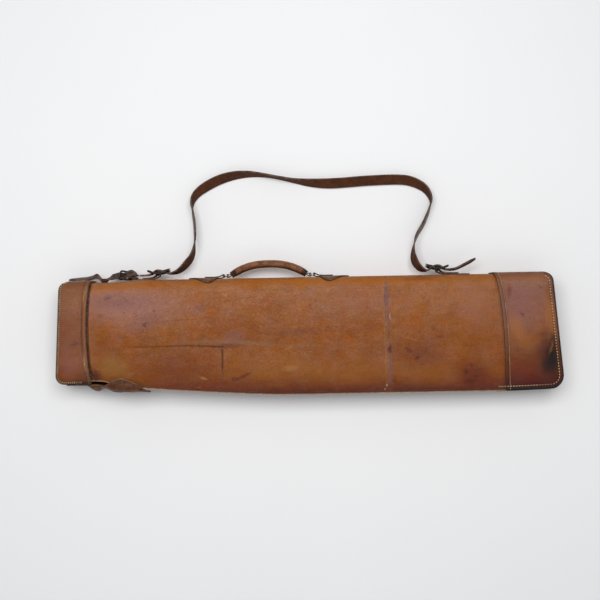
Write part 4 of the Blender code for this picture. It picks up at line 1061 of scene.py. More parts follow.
def rope_core():
    """Twisted cord inside the handle."""
    paint = Paint("rope")
    twist = paint.math("ADD", paint.math("MULTIPLY", paint.x, 1.4), paint.math("MULTIPLY", paint.z, 1.1))
    strand = paint.math("MULTIPLY_ADD", paint.math("SINE", twist), 0.5, 0.5)
    colour = paint.blend(strand, srgb(120, 98, 66), srgb(176, 152, 112))
    return paint.finish(colour, paint.range(strand, 0.75, 0.9), paint.bump(strand, 0.4))


def floor_paper():
    paint = Paint("floor_paper")
    soft = paint.noise(400.0, 2.0)
    colour = paint.blend(soft, (0.86, 0.865, 0.87, 1.0), (0.9, 0.9, 0.9, 1.0))
    return paint.finish(colour, paint.range(soft, 0.8, 0.9))


COATS = {
    "body": body_leather(),
    "lid": lid_leather(),
    "boot": boot_leather(),
    "strap": strap_leather("strap_leather", hide(78, 52, 42), hide(112, 82, 70), hide(150, 122, 106)),
    "handle": strap_leather("handle_leather", hide(98, 60, 40), hide(142, 96, 68), hide(176, 136, 108)),
    "closing": strap_leather("closing_leather", hide(52, 34, 26), hide(82, 58, 46), hide(128, 102, 84)),
    "hinge": strap_leather("hinge_leather", hide(74, 44, 28), hide(108, 69, 45), hide(146, 108, 78)),
    "tan": strap_leather("chape_leather", hide(88, 57, 43), hide(122, 86, 66), hide(156, 124, 102)),
    "orange": strap_leather("side_chape_leather", hide(112, 70, 40), hide(146, 96, 60), hide(172, 128, 92)),
    "welt": strap_leather("welt_leather", hide(36, 30, 27), hide(62, 54, 49), hide(110, 102, 92)),
    "gusset": strap_leather("gusset_leather", hide(84, 42, 22), hide(120, 68, 36), hide(150, 100, 62)),
    "flesh": flesh_side("flesh_side", hide(96, 60, 36), hide(134, 92, 58)),
    "dark_flesh": flesh_side("strap_flesh_side", hide(68, 42, 30), hide(102, 68, 48)),
    "pale_edge": cut_edge("pale_cut_edge", hide(190, 152, 108), hide(104, 62, 36)),
    "dark_edge": cut_edge("dark_cut_edge", hide(50, 38, 32), hide(26, 20, 18)),
    "bead_edge": cut_edge("light_cut_edge", hide(178, 140, 96), hide(104, 66, 42)),
    "strap_edge": cut_edge("strap_cut_edge", hide(112, 86, 70), hide(50, 34, 26)),
    "cream_thread": thread("cream_thread", srgb(240, 210, 158), srgb(180, 142, 96)),
    "brown_thread": thread("brown_thread", srgb(120, 92, 66), srgb(72, 48, 34)),
    "buckle": metal("blackened_steel", srgb(48, 41, 35), srgb(150, 132, 104), 0.02),
    "link": metal("link_steel", srgb(84, 78, 70), srgb(220, 216, 206), 0.16, (0.16, 0.4)),
    "cloth": woven_cloth(),
    "board": fibre_board(),
    "rope": rope_core(),
}


def strap_coats(grain, edge="strap_edge"):
    """The coats of a strap or tab: its grain side, its flesh side and its cut edge."""
    return [COATS[grain], COATS["dark_flesh"], COATS[edge]]


# ---------------------------------------------------------------- wraps


def wrap_rows(front, fine=()):
    """Places round a wrap's section: up its front, over the folded side and down its back.

    On the front and back, a place below 0 lies in the rounded corner, and 1 is where the fold starts.
    """
    corner = [-1 + k / 8 for k in range(8)]
    panel = stops(0.0, 1.0, 1 / front, fine)
    up = [("front", t) for t in corner + panel[:-1]]
    over = [("over", math.radians(90 * k / 10)) for k in range(11)]
    side = [("side", k / 4) for k in range(1, 4)]
    under = [("under", math.radians(90 + 90 * k / 10)) for k in range(11)]
    down = [("back", t) for t in reversed(corner + stops(0.0, 1.0, 2.5 / front)[:-1])]
    return up + over + side + under + down


def wrap_point(outline, x, row, inset, radius, corner):
    """(Y, Z, outward Y, outward Z) on a wrap's section, that far inside its outer face."""
    low, top, lower, upper = outline(x)
    kind, t = row
    crest = top - radius
    bend = radius - inset
    if kind in ("front", "back"):
        y = low + corner * (1 - math.cos(math.pi / 2 * (1 + t))) if t < 0 else mix(low + corner, crest, t)
        return (y, upper - inset, 0.0, 1.0) if kind == "front" else (y, lower + inset, 0.0, -1.0)
    if kind == "side":
        return top - inset, mix(upper - radius, lower + radius, t), 1.0, 0.0
    centre = upper - radius if kind == "over" else lower + radius
    return crest + bend * math.sin(t), centre + bend * math.cos(t), math.sin(t), math.cos(t)


def wrap_sheet(name, xs, edges, rows, outline, thickness, radius, corner, relief, coats, edge):
    """A wrap between two edges given as X over Y, raised by relief(x, y, row's kind)."""
    left, right = edges
    shares = [(x - xs[0]) / (xs[-1] - xs[0]) for x in xs]
    places = {}
    for column, share in enumerate(shares):
        nominal = mix(left(0), right(0), share)
        for row, spot in enumerate(rows):
            guide = wrap_point(outline, nominal, spot, 0.0, radius, corner)[0]
            x = mix(left(guide), right(guide), share)
            y = wrap_point(outline, x, spot, 0.0, radius, corner)[0]
            places[column, row] = (x, relief(x, y, spot[0]))

    def place(column, row, layer):
        x, (lift, *_) = places[column, row]
        y, z, out_y, out_z = wrap_point(outline, x, rows[row], thickness * layer, radius, corner)
        return (x, y + out_y * lift, z + out_z * lift)

    def shade(column, row):
        return places[column, row][1][1:]

    return leather_sheet(name, len(xs) - 1, len(rows) - 1, place, coats, shade, edge=edge)


def shoulder_x(y):
    """Where the body's raised shoulder starts, just past the lid's mouth, with rounded corners."""
    low = NECK_BOTTOM + 4.0
    cut_back = max(rounding(NECK_TOP - y, 12.0), rounding(y - low, 10.0) if y > low else 10.0)
    return lid_mouth(y) + SHOULDER_GAP + cut_back * 0.6


CREASES = [
    # start, end, depth, half width
    ((-287.0, -16.6), (-244.0, -16.0), 0.45, 1.1),
    ((-244.0, -16.0), (-196.0, -15.2), 0.6, 1.1),
    ((-196.0, -15.2), (-138.0, -18.6), 0.65, 1.2),
    ((-286.0, -30.0), (-260.0, -27.2), 0.24, 1.2),
    ((-237.0, 24.2), (-190.0, 26.2), 0.2, 1.3),
    ((-139.0, -23.0), (-139.4, -54.0), 0.8, 1.1),
    ((-139.4, -54.0), (-137.6, -76.0), 0.35, 1.1),
    ((-134.0, 54.8), (-86.0, 61.4), 0.2, 1.3),
]


def crease(x, y):
    """(depth, darkness) of the creases at a point on the body's front; the darkness is painted shade in the
    creases.
    """
    depth, dark = 0.0, 0.0
    for start, end, deep, wide in CREASES:
        distance = segment_distance(x, y, start, end)
        if distance < 4 * wide:
            here = hill(distance, wide)
            depth += deep * here
            dark = max(dark, here * min(1.0, 1.3 * (deep - 0.1)))
    return depth, dark


def body_relief(x, y, kind):
    if kind not in ("front", "over"):
        raw = smooth(1.6, 0.8, y - body_bottom(x)) if kind == "back" else 0.0
        return (0.25 * ripple(x, y, 40.0, 7.0) if kind != "back" else 0.0), 0.0, 0.8 * raw
    low, crest = body_bottom(x), body_top(x) - FOLD_RADIUS
    swell = smooth(low, low + 42.0, y) * smooth(crest + 14.0, crest - 40.0, y)
    past_shoulder = smooth(-0.8, 0.8, x - shoulder_x(y))
    raised = body_lower(x) * past_shoulder * smooth(crest + 14.0, crest, y) if x < 0 else 0.0
    lift = BODY_CROWN * swell * smooth(-352, -318, x) * smooth(300, 236, x) + raised
    uneven = smooth(-340, -320, x) * smooth(296, 270, x) * smooth(crest + 15.0, crest - 10.0, y)
    lift += (0.5 * ripple(x, y, 55.0) + 0.22 * ripple(x, y, 18.0, 2.0)) * uneven
    depth, dark = crease(x, y)
    reach = smooth(-96, -90, y) * smooth(88, 78, y)
    band = hill(x - BAND_X - BAND_SLANT * y, 1.0) * reach
    ridge = hill(x - RIDGE_X - BAND_SLANT * y, 3.2) * reach
    lift += 0.35 * ridge - 0.25 * band - depth
    # Dark along the lid's mouth: a painted shadow in the gap under the lid's edge, fading to a lighter
    # grime further under the lid.
    past = x - lid_mouth(y) - SHOULDER_GAP + 3.0
    under_lid = smooth(5.0, 1.0, past) * mix(0.3, 1.0, smooth(-11.0, -4.0, past)) if x < -300 else 0.0
    # Darker towards the bottom edge: partly grime and partly painted shade.
    edge_dark = 0.3 * smooth(9.0, 0.0, y - low)
    boot_shadow = 0.45 * smooth(5.0, 0.0, boot_edge(y) - x) if x > 250 else 0.0
    raw = smooth(1.9, 1.1, y - low)
    return lift, max(dark, under_lid, edge_dark, boot_shadow) * (1 - raw), 0.9 * raw


def boot_relief(x, y, kind):
    from_edge = x - boot_edge(y)
    seam = hill(from_edge - BOOT_SEAM, 1.3)
    lip = smooth(0.0, 2.0, from_edge) * smooth(BOOT_SEAM, 3.0, from_edge)
    if kind not in ("front", "over"):
        edge_dark = smooth(3.0, 1.2, boot_toe_edge(y) - x)
        lift = -0.5 * seam if kind == "back" else 0.5 * lip - 0.5 * seam
        # The darker seam groove is painted shade.
        return lift, max(0.5 * seam, edge_dark), 0.2 * lip
    low, crest = body_bottom(x), BOOT_TOP - FOLD_RADIUS
    from_end = END_X + END_SLANT * y - x
    inside = min(corner_distance(from_end, y - low, TOE_BOTTOM_RADIUS), boot_toe_edge(y) - x + 0.5)
    swell = smooth(low, low + 40.0, y) * smooth(crest + 14.0, crest - 36.0, y)
    swell *= smooth(BOOT_SEAM, 40.0, from_edge) * smooth(2.0, 34.0, from_end)
    toe_seam = hill(inside - STITCH_INSET, 1.4) * smooth(0.0, 6.0, from_edge)
    rim = smooth(STITCH_INSET, 3.0, inside)
    lift = BOOT_CROWN * swell + 0.45 * lip - 0.65 * seam - 0.55 * toe_seam
    lift += 0.35 * ripple(x, y, 34.0, 4.0) * swell
    edge_dark = smooth(3.6, 2.0, inside)
    # mouth_dark is a painted shadow along the boot's edge where it stands above the body; the darkening in
    # the seams' grooves is painted shade.
    mouth_dark = 0.8 * smooth(1.0, 0.0, from_edge)
    return lift, max(edge_dark, 0.7 * seam, 0.6 * toe_seam, mouth_dark, 0.35 * rim, 0.3 * lip), 0.0


def lid_relief(x, y, kind):
    to_mouth = lid_mouth(y) - x
    bead = hill(to_mouth - LID_BEAD / 2, LID_BEAD / 3)
    groove = hill(to_mouth - LID_GROOVE, 1.0)
    if kind not in ("front", "over"):
        edge_dark = 0.9 * smooth(LID_SEAM - 0.6, LID_WHIP_SEAM, x - lid_end(y))
        lift = -0.3 * groove if kind == "back" else 0.7 * bead - 0.3 * groove
        # The darker groove is painted shade and the paler bead a painted highlight.
        return lift, max(edge_dark, 0.5 * groove), 0.1 * bead
    from_end = x - (LID_LEFT - LID_SLANT * y)
    inside = min(corner_distance(from_end, y - LID_BOTTOM, LID_CORNER), x - lid_end(y) + 0.5)
    swell = smooth(LID_BOTTOM, LID_BOTTOM + 30.0, y) * smooth(LID_TOP - 2.0, LID_TOP - 50.0, y)
    swell *= smooth(2.0, 18.0, from_end) * smooth(LID_BEAD, 20.0, to_mouth)
    seam = hill(inside - LID_SEAM, 1.0)
    lift = LID_CROWN * swell + 0.8 * bead - 0.5 * groove - 0.45 * seam
    lift += 0.4 * ripple(x, y, 30.0, 9.0) * swell
    lift -= 1.4 * smooth(LID_SEAM - 0.8, 0.0, inside)
    edge_dark = 0.9 * smooth(LID_SEAM - 0.6, LID_WHIP_SEAM, inside)
    # foot is a painted shade along the lid's bottom edge.
    foot = 0.35 * smooth(12.0, 0.0, y - LID_BOTTOM)
    # worn picks the pale spots at the bead's inner edge: a painted highlight, as is the slightly paler
    # bead.
    worn = max(hill(y - 68.0, 12.0), hill(y + 40.0, 12.0))
    pale = hill(to_mouth - LID_BEAD, 1.3) * worn + 0.12 * bead
    # The darker groove and the darkened edge at the mouth are painted shade.
    return lift, max(edge_dark, 0.75 * groove, foot, smooth(0.8, 0.0, to_mouth)), min(1.0, pale)


def make_wraps():
    fine_places = [(-360.0, -340.0, 1.0), (-148.0, -128.0, 0.9), (112.0, 140.0, 1.0)]
    body_xs = stops(NECK_LEFT, END_X, 4.0, fine_places)
    body_rows = wrap_rows(56, [(0.27, 0.39, 0.0065)])
    coats = [COATS["body"], COATS["flesh"], COATS["pale_edge"]]
    edges = (neck_edge, toe_edge)
    body = wrap_sheet(
        "body_leather", body_xs, edges, body_rows,
        body_outline, LEATHER, FOLD_RADIUS, TOE_BOTTOM_RADIUS, body_relief, coats, 1.7,
    )
    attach(body, "case")
    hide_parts("body_wrap")

    boot_xs = stops(0.0, 90.0, 1.6, [(0.0, 12.0, 0.8), (76.0, 90.0, 0.9)])
    coats = [COATS["boot"], COATS["flesh"], COATS["dark_edge"]]
    edges = (boot_edge, boot_toe_edge)
    boot = wrap_sheet(
        "boot_leather", boot_xs, edges, wrap_rows(70),
        boot_outline, BOOT_LEATHER, BOOT_FOLD, TOE_BOTTOM_RADIUS, boot_relief, coats, 0.7,
    )
    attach(boot, "case")
    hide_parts("toe_boot")

    lid_xs = stops(0.0, 47.0, 0.9)
    coats = [COATS["lid"], COATS["flesh"], COATS["bead_edge"]]
    edges = (lid_end, lid_mouth)
    lid = wrap_sheet(
        "lid_leather", lid_xs, edges, wrap_rows(60),
        lid_outline, LID_LEATHER, FOLD_RADIUS, LID_CORNER, lid_relief, coats, 0.9,
    )
    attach(lid, "lid")
    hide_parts("lid_wrap")


# ---------------------------------------------------------------- seams


def skin(outline, radius, x, y, front, lift=0.0):
    """(point, outward) on a wrap's front or back at X and Y, with Y as far as the middle of its fold."""
    _, top, lower, upper = outline(x)
    climb = min(max(0.0, y - (top - radius)), radius)
    level = radius - math.sqrt(radius**2 - climb**2)
    tilt = climb / radius
    slope = math.sqrt(1 - tilt**2)
    sign = 1 if front else -1
    z = (upper - level) if front else (lower + level)
    outward = Vector((0.0, tilt, sign * slope))
    return Vector((x, y, z)) + outward * lift, outward


def resampled(line, step):
    """Points a step apart along a line in plan."""
    found = [Vector(line[0])]
    for point in line[1:]:
        point = Vector(point)
        while (point - found[-1]).length > step:
            found.append(found[-1] + (point - found[-1]).normalized() * step)
    return found


def inset_line(line, inset):
    """A line in plan moved to its left-hand side."""
    return [Vector(p) + n * inset for p, n in zip(line, side_normals([tuple(p) for p in line]))]


def toe_line():
    """The toe's edge in plan: along the bottom, round its lower corner and up its end to the fold."""
    low = body_bottom(TOE_START + TOE_LENGTH * 0.8)
    along = [(x, body_bottom(x)) for x in stops(TOE_START + 4.0, 372.0, 6.0)]
    corner = [low + TOE_BOTTOM_RADIUS * (1 - math.cos(math.radians(90 * k / 12))) for k in range(13)]
    crown = [BOOT_TOP - TOE_TOP_RADIUS * (1 - math.sin(math.radians(80 * k / 10))) for k in range(1, 11)]
    heights = corner + stops(corner[-1], BOOT_TOP - TOE_TOP_RADIUS, 8.0)[1:] + crown
    return along + [(boot_toe_edge(y), y) for y in heights]


def lid_line():
    """The lid's edge in plan: down its end from the fold, round its lower corner and along to the mouth."""
    crown = [LID_TOP - LID_CORNER * (1 - math.sin(math.radians(80 - 80 * k / 8))) for k in range(9)]
    corner = [LID_BOTTOM + LID_CORNER * (1 - math.cos(math.radians(90 - 90 * k / 8))) for k in range(9)]
    heights = crown + list(reversed(stops(corner[0], crown[-1], 8.0)))[1:-1] + corner
    return [(lid_end(y), y) for y in heights] + [(x, LID_BOTTOM) for x in (-384.0, -374.0, -364.0)]


def sewn(name, line, outline, radius, front, body, coat, lift, **size):
    """A row of stitches along a line in plan, on a wrap's front or back."""
    track = [skin(outline, radius, p.x, p.y, front, lift) for p in resampled(line, 1.0)]
    row = stitches(f"{name}_{'front' if front else 'back'}_stitches", track, coat, **size)
    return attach(row, body)


def around_track(outline, radius, x_of, ends, lift):
    """A track that goes up a wrap's front, over its fold and down its back, at X given over Y."""
    rows = [row for row in wrap_rows(60) if row[1] >= 0 or row[0] not in ("front", "back")]
    track = []
    for row in rows:
        y = wrap_point(outline, 0.0, row, 0.0, radius, ends)[0]
        x = x_of(y)
        y, z, out_y, out_z = wrap_point(outline, x, row, -lift, radius, ends)
        track.append((Vector((x, y, z)), Vector((0.0, out_y, out_z))))
    return track


def make_seams():
    cream, brown = COATS["cream_thread"], COATS["brown_thread"]
    toe = inset_line(toe_line(), STITCH_INSET)
    end = inset_line(lid_line(), LID_WHIP_SEAM)
    bottom = [(x, body_bottom(x) + 4.2) for x in stops(-322.0, BOOT_EDGE - 2.0, 4.0)]
    bold = {"length": 2.6, "width": 1.5, "slant": 24, "pitch": 4.6}
    small = {"length": 2.6, "width": 0.7}
    for front in (True, False):
        sewn("toe_seam", toe, boot_outline, BOOT_FOLD, front, "case", cream, 0.0, **bold)
        whip = {"length": 3.6, "width": 0.9, "slant": 72, "pitch": 3.4}
        sewn("lid_end_seam", end, lid_outline, FOLD_RADIUS, front, "lid", cream, 0.0, **whip)
        sewn("bottom_seam", bottom, body_outline, FOLD_RADIUS, front, "case", brown, 0.05, **small)
    track = around_track(boot_outline, BOOT_FOLD, lambda y: boot_edge(y) + BOOT_SEAM, 3.0, -0.15)
    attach(stitches("boot_edge_stitches", track, cream, pitch=3.8, length=2.5, width=1.0), "case")
    track = around_track(lid_outline, FOLD_RADIUS, lambda y: lid_mouth(y) - LID_GROOVE, 3.0, -0.2)
    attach(stitches("lid_mouth_stitches", track, brown, pitch=3.8, length=2.4, width=0.6), "lid")


# ---------------------------------------------------------------- straps


def strap_offsets(width):
    """Places across a strap, close together by the creased line inside each edge."""
    half = width / 2
    near = [half, half - 0.7, half - 1.5, half - 2.2, half - 2.9, half - 3.8]
    return [-v for v in near] + [0.0] + list(reversed(near))


def strap_relief(offset, half):
    """(lift, dark) across a strap: a creased line inside each edge and a slight crown."""
    line = hill(half - abs(offset) - 2.2, 0.55)
    return 0.25 * (1 - (offset / half) ** 2) - 0.28 * line, 0.5 * line


def strap(name, stations, width, thickness, coats, edge=0.5):
    """A strap from stations of (centre, across, face), tapered by width(share).

    across points along its width, and face out of its grain side. The creased lines follow its edges.
    """
    last = len(stations) - 1
    full = max(width(k / last) for k in range(last + 1))
    offsets = strap_offsets(full)

    def place(column, row, layer):
        centre, across, face = stations[column]
        half = width(column / last) / 2
        offset = offsets[row]
        lift = strap_relief(offset, full / 2)[0]
        out = thickness / 2 + lift if layer == 0 else -thickness / 2
        return centre + across * (offset * half / (full / 2)) + face * out

    def shade(column, row):
        rub = max(0.0, ripple(column * 3.0, row * 2.0, 12.0, 3.0)) * 0.6
        edge_wear = 0.5 if row in (0, len(offsets) - 1) else 0.0
        return strap_relief(offsets[row], full / 2)[1], max(rub, edge_wear)

    return leather_sheet(name, last, len(offsets) - 1, place, coats, shade, edge=edge)


def tapered(full, tip, share_of_tip):
    """A strap's width: full, then drawn in to a rounded tip over the last share of its length."""

    def width(share):
        left = min(1.0, max(0.0, (share - (1 - share_of_tip)) / share_of_tip))
        return mix(full * math.sqrt(1 - left**2), tip, left)

    return width


def flat_stations(path, outward=1):
    """Stations of a strap that stands on edge along a path in plan, with its grain side to the left."""
    normals = side_normals(path)
    return [
        (Vector((p[0], p[1], MIDDLE)), Vector((0, 0, 1)), Vector((n.x, n.y, 0)) * outward)
        for p, n in zip(path, normals)
    ]


def cut_hole(item, centre, axis, radius, depth=14.0):
    """Cut a round hole through a strap."""
    mesh = bmesh.new()
    spin = Vector(axis).to_track_quat("Z", "Y").to_matrix().to_4x4()
    at = Matrix.Translation(Vector(centre)) @ spin
    bmesh.ops.create_cone(
        mesh, cap_ends=True, segments=16, radius1=radius, radius2=radius, depth=depth, matrix=at
    )
    cut_with(item, mesh)


def cut_slot(item, low, high):
    """Cut a box out of a strap."""
    mesh = bmesh.new()
    bmesh.ops.create_cube(mesh, size=1.0)
    for vertex in mesh.verts:
        vertex.co = [mix(low[k], high[k], vertex.co[k] + 0.5) for k in range(3)]
    cut_with(item, mesh)


def cut_with(item, mesh):
    """Take a bmesh's volume out of an object."""
    cutter = mesh_object("cutter", mesh, [])
    change = item.modifiers.new("cut", "BOOLEAN")
    change.operation = "DIFFERENCE"
    change.solver = "EXACT"
    change.object = cutter
    settle(item)
    bpy.data.objects.remove(cutter)


def make_shoulder_strap():
    knots = spline_points(SHOULDER_ROUTE, 6)
    normals = side_normals(knots)
    last = len(knots) - 1
    width = tapered(STRAP_WIDTH, TIP_WIDTH, 0.012)
    stations = []
    for k, ((x, y, z, lean), normal) in enumerate(zip(knots, normals)):
        lean = math.radians(lean)
        outward = Vector((normal.x, normal.y, 0.0))
        up = Vector((0, 0, math.cos(lean))) + outward * math.sin(lean)
        face = outward * math.cos(lean) - Vector((0, 0, math.sin(lean)))
        half = width(k / last) / 2
        rest = half * math.cos(lean) + STRAP_THICKNESS / 2 * abs(math.sin(lean)) + GAP
        stations.append((Vector((x, y, max(z, rest))), up, face))
    coats = strap_coats("strap")
    item = strap("shoulder_strap_leather", stations, width, STRAP_THICKNESS, coats)
    for side, (bar_x, bar_y) in SLING_BUCKLE_BARS.items():
        pull = 1 if side == "left" else -1
        ends = sorted((bar_x - pull * 4.2, bar_x + pull * (SLING_BUCKLE_HALF + 1)))
        half = PRONG_SLOT / 2
        cut_slot(item, (ends[0], bar_y - 7, MIDDLE - half), (ends[1], bar_y + 12, MIDDLE + half))
    for x, y, tilt in ((238.0, 101.0, 0.0), (252.0, 105.8, 0.4), (-260.0, 99.9, 0.2)):
        cut_hole(item, (x, y, MIDDLE), (-math.sin(tilt), math.cos(tilt), 0.0), PRONG_HOLE)
    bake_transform(item)
    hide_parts("shoulder_strap")


def closing_pose(x):
    """(lean in radians, rise) of the closing strap at X."""
    for before, after in zip(CLOSING_POSES, CLOSING_POSES[1:]):
        if x < after[0]:
            share = smooth(before[0], after[0], x)
            return math.radians(mix(before[1], after[1], share)), mix(before[2], after[2], share)
    return math.radians(CLOSING_POSES[-1][1]), CLOSING_POSES[-1][2]


def leaned(point, at=None):
    """Turn a place on the closing strap about the line through its buckle's bar, as its pose is at X."""
    lean, rise = closing_pose(point.x if at is None else at)
    bar_y = LID_BUCKLE_BAR[1]
    up, out = point.y - bar_y, point.z - MIDDLE
    turned_up = up * math.cos(lean) - out * math.sin(lean)
    return Vector((point.x, bar_y + rise + turned_up, MIDDLE + up * math.sin(lean) + out * math.cos(lean)))


def lean(item, at=None):
    """Turn a finished mesh with the closing strap, as the strap lies at each vertex's X or at one X."""
    for vertex in item.data.vertices:
        vertex.co = leaned(vertex.co / MM, at) * MM
    item.data.update()


def make_closing_strap():
    path = spline_points(CLOSING_ROUTE, 8)
    coats = strap_coats("closing")
    width = tapered(STRAP_WIDTH, TIP_WIDTH, 0.08)
    item = strap("closing_strap_leather", flat_stations(path), width, STRAP_THICKNESS, coats)
    bar_x, bar_y = LID_BUCKLE_BAR
    low = (bar_x - LID_BUCKLE_LENGTH - 4, bar_y - 8, MIDDLE - PRONG_SLOT / 2)
    cut_slot(item, low, (bar_x + 3.2, bar_y + 12, MIDDLE + PRONG_SLOT / 2))
    for x in (-317.0, -346.0):
        cut_hole(item, (x, 98.0, MIDDLE), (0, 1, 0), PRONG_HOLE)
    lean(item)
    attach(item, "lid")
    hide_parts("closing_strap")
    for label, z in (("lower", MIDDLE - STRAP_SEAM), ("upper", MIDDLE + STRAP_SEAM)):
        track = [(Vector((x, 95.15, z)), Vector((0, 1, 0))) for x in stops(-387.0, -362.0, 1.0)]
        name = f"closing_strap_{label}_stitches"
        row = stitches(name, track, COATS["brown_thread"], length=2.6, width=0.7)
        lean(row)
        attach(row, "lid")


def make_hinge_strap():
    """The broad strap that hinges the lid, buckled into two waves, its front edge curled over the front."""
    knots = spline_points(HINGE_ROUTE, 8)
    width = tapered(1.0, HINGE_TIP, 0.1)
    last = len(knots) - 1
    edge_lines = [-1.0, -0.96, -0.92, -0.88, -0.8]
    inner_lines = [-0.65, -0.5, -0.35, -0.2, 0.0, 0.2, 0.4, 0.6]
    lines = edge_lines + inner_lines + [-line for line in reversed(edge_lines)]
    rows = len(lines) - 1

    def centre_line(column, row):
        x, front_y, front_z, bend_y, bend_z, back_y, back_z = knots[column]
        share = (1 + lines[row] * width(column / last)) / 2
        front = (1 - share) ** 2
        bend = 2 * share * (1 - share)
        back = share**2
        y = front * front_y + bend * bend_y + back * back_y
        return Vector((x, y, front * front_z + bend * bend_z + back * back_z))

    def place(column, row, layer):
        here = centre_line(column, row)
        along = centre_line(min(column + 1, last), row) - centre_line(max(column - 1, 0), row)
        across = centre_line(column, max(row - 1, 0)) - centre_line(column, min(row + 1, rows))
        face = along.cross(across).normalized()
        line = hill(abs(abs(lines[row]) - HINGE_CREASE), 0.025)
        out = STRAP_THICKNESS / 2 - 0.25 * line if layer == 0 else -STRAP_THICKNESS / 2
        return here + face * out

    def shade(column, row):
        line = hill(abs(abs(lines[row]) - HINGE_CREASE), 0.03)
        # low darkens the strap towards its back edge, which turns down under the curl: painted shade. The
        # pale front edge is edge wear with a painted highlight.
        low = 0.55 * smooth(-0.1, 0.7, lines[row])
        return max(0.4 * line, low), 1.0 if row < 2 else max(0.0, 0.6 * ripple(column, row * 3.0, 9.0, 1.0))

    coats = strap_coats("hinge")
    item = leather_sheet("hinge_strap_leather", last, rows, place, coats, shade, edge=0.45)
    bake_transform(item)
    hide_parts("hinge_strap")


def make_keeper():
    """A flat loop round the closing strap, with rounded corners."""
    low = NECK_TOP + GAP + KEEPER_CORNER
    high = KEEPER_TOP - KEEPER_CORNER
    reach_z = STRAP_WIDTH / 2 + GAP + KEEPER_LEATHER + 0.7 - KEEPER_CORNER
    ring = []
    for y, side_z, start in ((high, 1, 0), (low, 1, 90), (low, -1, 180), (high, -1, 270)):
        for k in range(7):
            angle = math.radians(start + 15 * k)
            ring.append((y, MIDDLE + side_z * reach_z, math.cos(angle), math.sin(angle)))
    ring.append(ring[0])
    across = [-1.0, -0.8, -0.6, -0.3, 0.0, 0.3, 0.6, 0.8, 1.0]

    def place(column, row, layer):
        y, z, out_y, out_z = ring[row]
        line = 0.15 * hill(abs(across[column]) - 0.6, 0.12)
        reach = KEEPER_CORNER - (KEEPER_LEATHER if layer else line)
        return (KEEPER_X + KEEPER_HALF_WIDTH * across[column], y + reach * out_y, z + reach * out_z)

    coats = strap_coats("closing")
    size = (len(across) - 1, len(ring) - 1)
    item = leather_sheet("keeper_leather", *size, place, coats, closed=True, edge=0.3)
    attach(item, "case")
    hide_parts("strap_keeper")


# ---------------------------------------------------------------- chapes


def chape(name, path, node, coats, outward=-1, slot=None, leans=False):
    """A tab folded round a buckle's bar, with a slot across the fold for the prong."""
    stations = flat_stations(path, outward)
    item = strap(name, stations, lambda share: CHAPE_WIDTH, TAB_THICKNESS, coats, edge=0.35)
    if slot:
        bar, reach = slot
        half = PRONG_SLOT / 2 + 0.5
        low = (bar[0] - reach, bar[1] - 7, MIDDLE - half)
        cut_slot(item, low, (bar[0] + reach, bar[1] + 7, MIDDLE + half))
    if leans:
        lean(item)
    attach(item, "case")
    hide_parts(node)
    return item


def make_lid_buckle_chape():
    radius = WIRE + BAR_PLAY + TAB_THICKNESS / 2
    bar = LID_BUCKLE_BAR
    floor = body_top(-282) + GAP + TAB_THICKNESS / 2
    lower = [(-278.4, floor), (-284.0, floor + 0.4)]
    fold = arc(bar, radius, 285, 75, 14)
    second = floor + TAB_THICKNESS + 2 * GAP
    upper = [(-284.5, second + 1.6), (-281.0, second + 0.8), (-278.4, second + 0.5)]
    path = spline_points(lower + fold[::2] + upper, 3)
    coats = strap_coats("closing")
    name = "lid_buckle_chape"
    chape(f"{name}_leather", path, name, coats, outward=1, slot=(bar, 6.5), leans=True)


def make_sling_chape(side):
    bar = SLING_BUCKLE_BARS[side]
    away = 1 if side == "right" else -1
    radius = WIRE + BAR_PLAY + TAB_THICKNESS / 2
    floor = TOP + GAP + TAB_THICKNESS / 2
    second = floor + TAB_THICKNESS + GAP
    long_run, short_run = (52.0, 34.0) if side == "right" else (34.0, 26.0)
    lower = [(long_run, floor), (20.0, floor), (10.0, floor + 0.5), (3.0, floor + 2.4), (-1.2, floor + 5.0)]
    fold = [(x - bar[0], y) for x, y in arc(bar, radius, 200, -10, 6)]
    upper = [(5.2, second + 3.6), (11.0, second + 0.8), (20.0, second + 0.2), (short_run, second)]
    path = [(bar[0] + away * x, y) for x, y in lower + fold + upper]
    coats = strap_coats("orange" if side == "left" else "tan")
    name = f"sling_chape_{side}"
    chape(f"{name}_leather", spline_points(path, 3), name, coats, outward=away, slot=(bar, 4.6))
    top = second + TAB_THICKNESS / 2 + 0.15
    for label, z in (("lower", MIDDLE - CHAPE_SEAM), ("upper", MIDDLE + CHAPE_SEAM)):
        first, final = sorted((bar[0] + away * 12, bar[0] + away * short_run))
        xs = stops(first + 1, final - 1, 1.0)
        track = [(Vector((x, top, z)), Vector((0, 1, 0))) for x in xs]
        row = stitches(f"{name}_{label}_stitches", track, COATS["brown_thread"], length=2.4, width=0.65)
        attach(row, "case")


def over_the_fold(rise, along):
    """(Y, Z, outward Y, outward Z) that far above the handle side and that far along it from MIDDLE."""
    flat = DEPTH / 2 - FOLD_RADIUS
    angle = max(0.0, abs(along) - flat) / FOLD_RADIUS
    bend = FOLD_RADIUS + rise
    z = min(abs(along), flat) + bend * math.sin(angle)
    y = TOP - FOLD_RADIUS + bend * math.cos(angle)
    return y, MIDDLE + math.copysign(z, along), math.cos(angle), math.copysign(math.sin(angle), along)


def leaf_half_width(x):
    """Half the width of a handle chape that far from its bar: narrow in the link, then a pointed leaf."""
    if x < HANDLE_LEAF_START:
        return HANDLE_CHAPE_NARROW / 2
    along = min(1.0, (x - HANDLE_LEAF_START) / (HANDLE_LEAF_END - HANDLE_LEAF_START))
    swell = math.sin(math.pi * along**0.65) ** 0.8 if along < 1 else 0.0
    return mix(HANDLE_CHAPE_NARROW / 2, HANDLE_LEAF_HALF, swell)


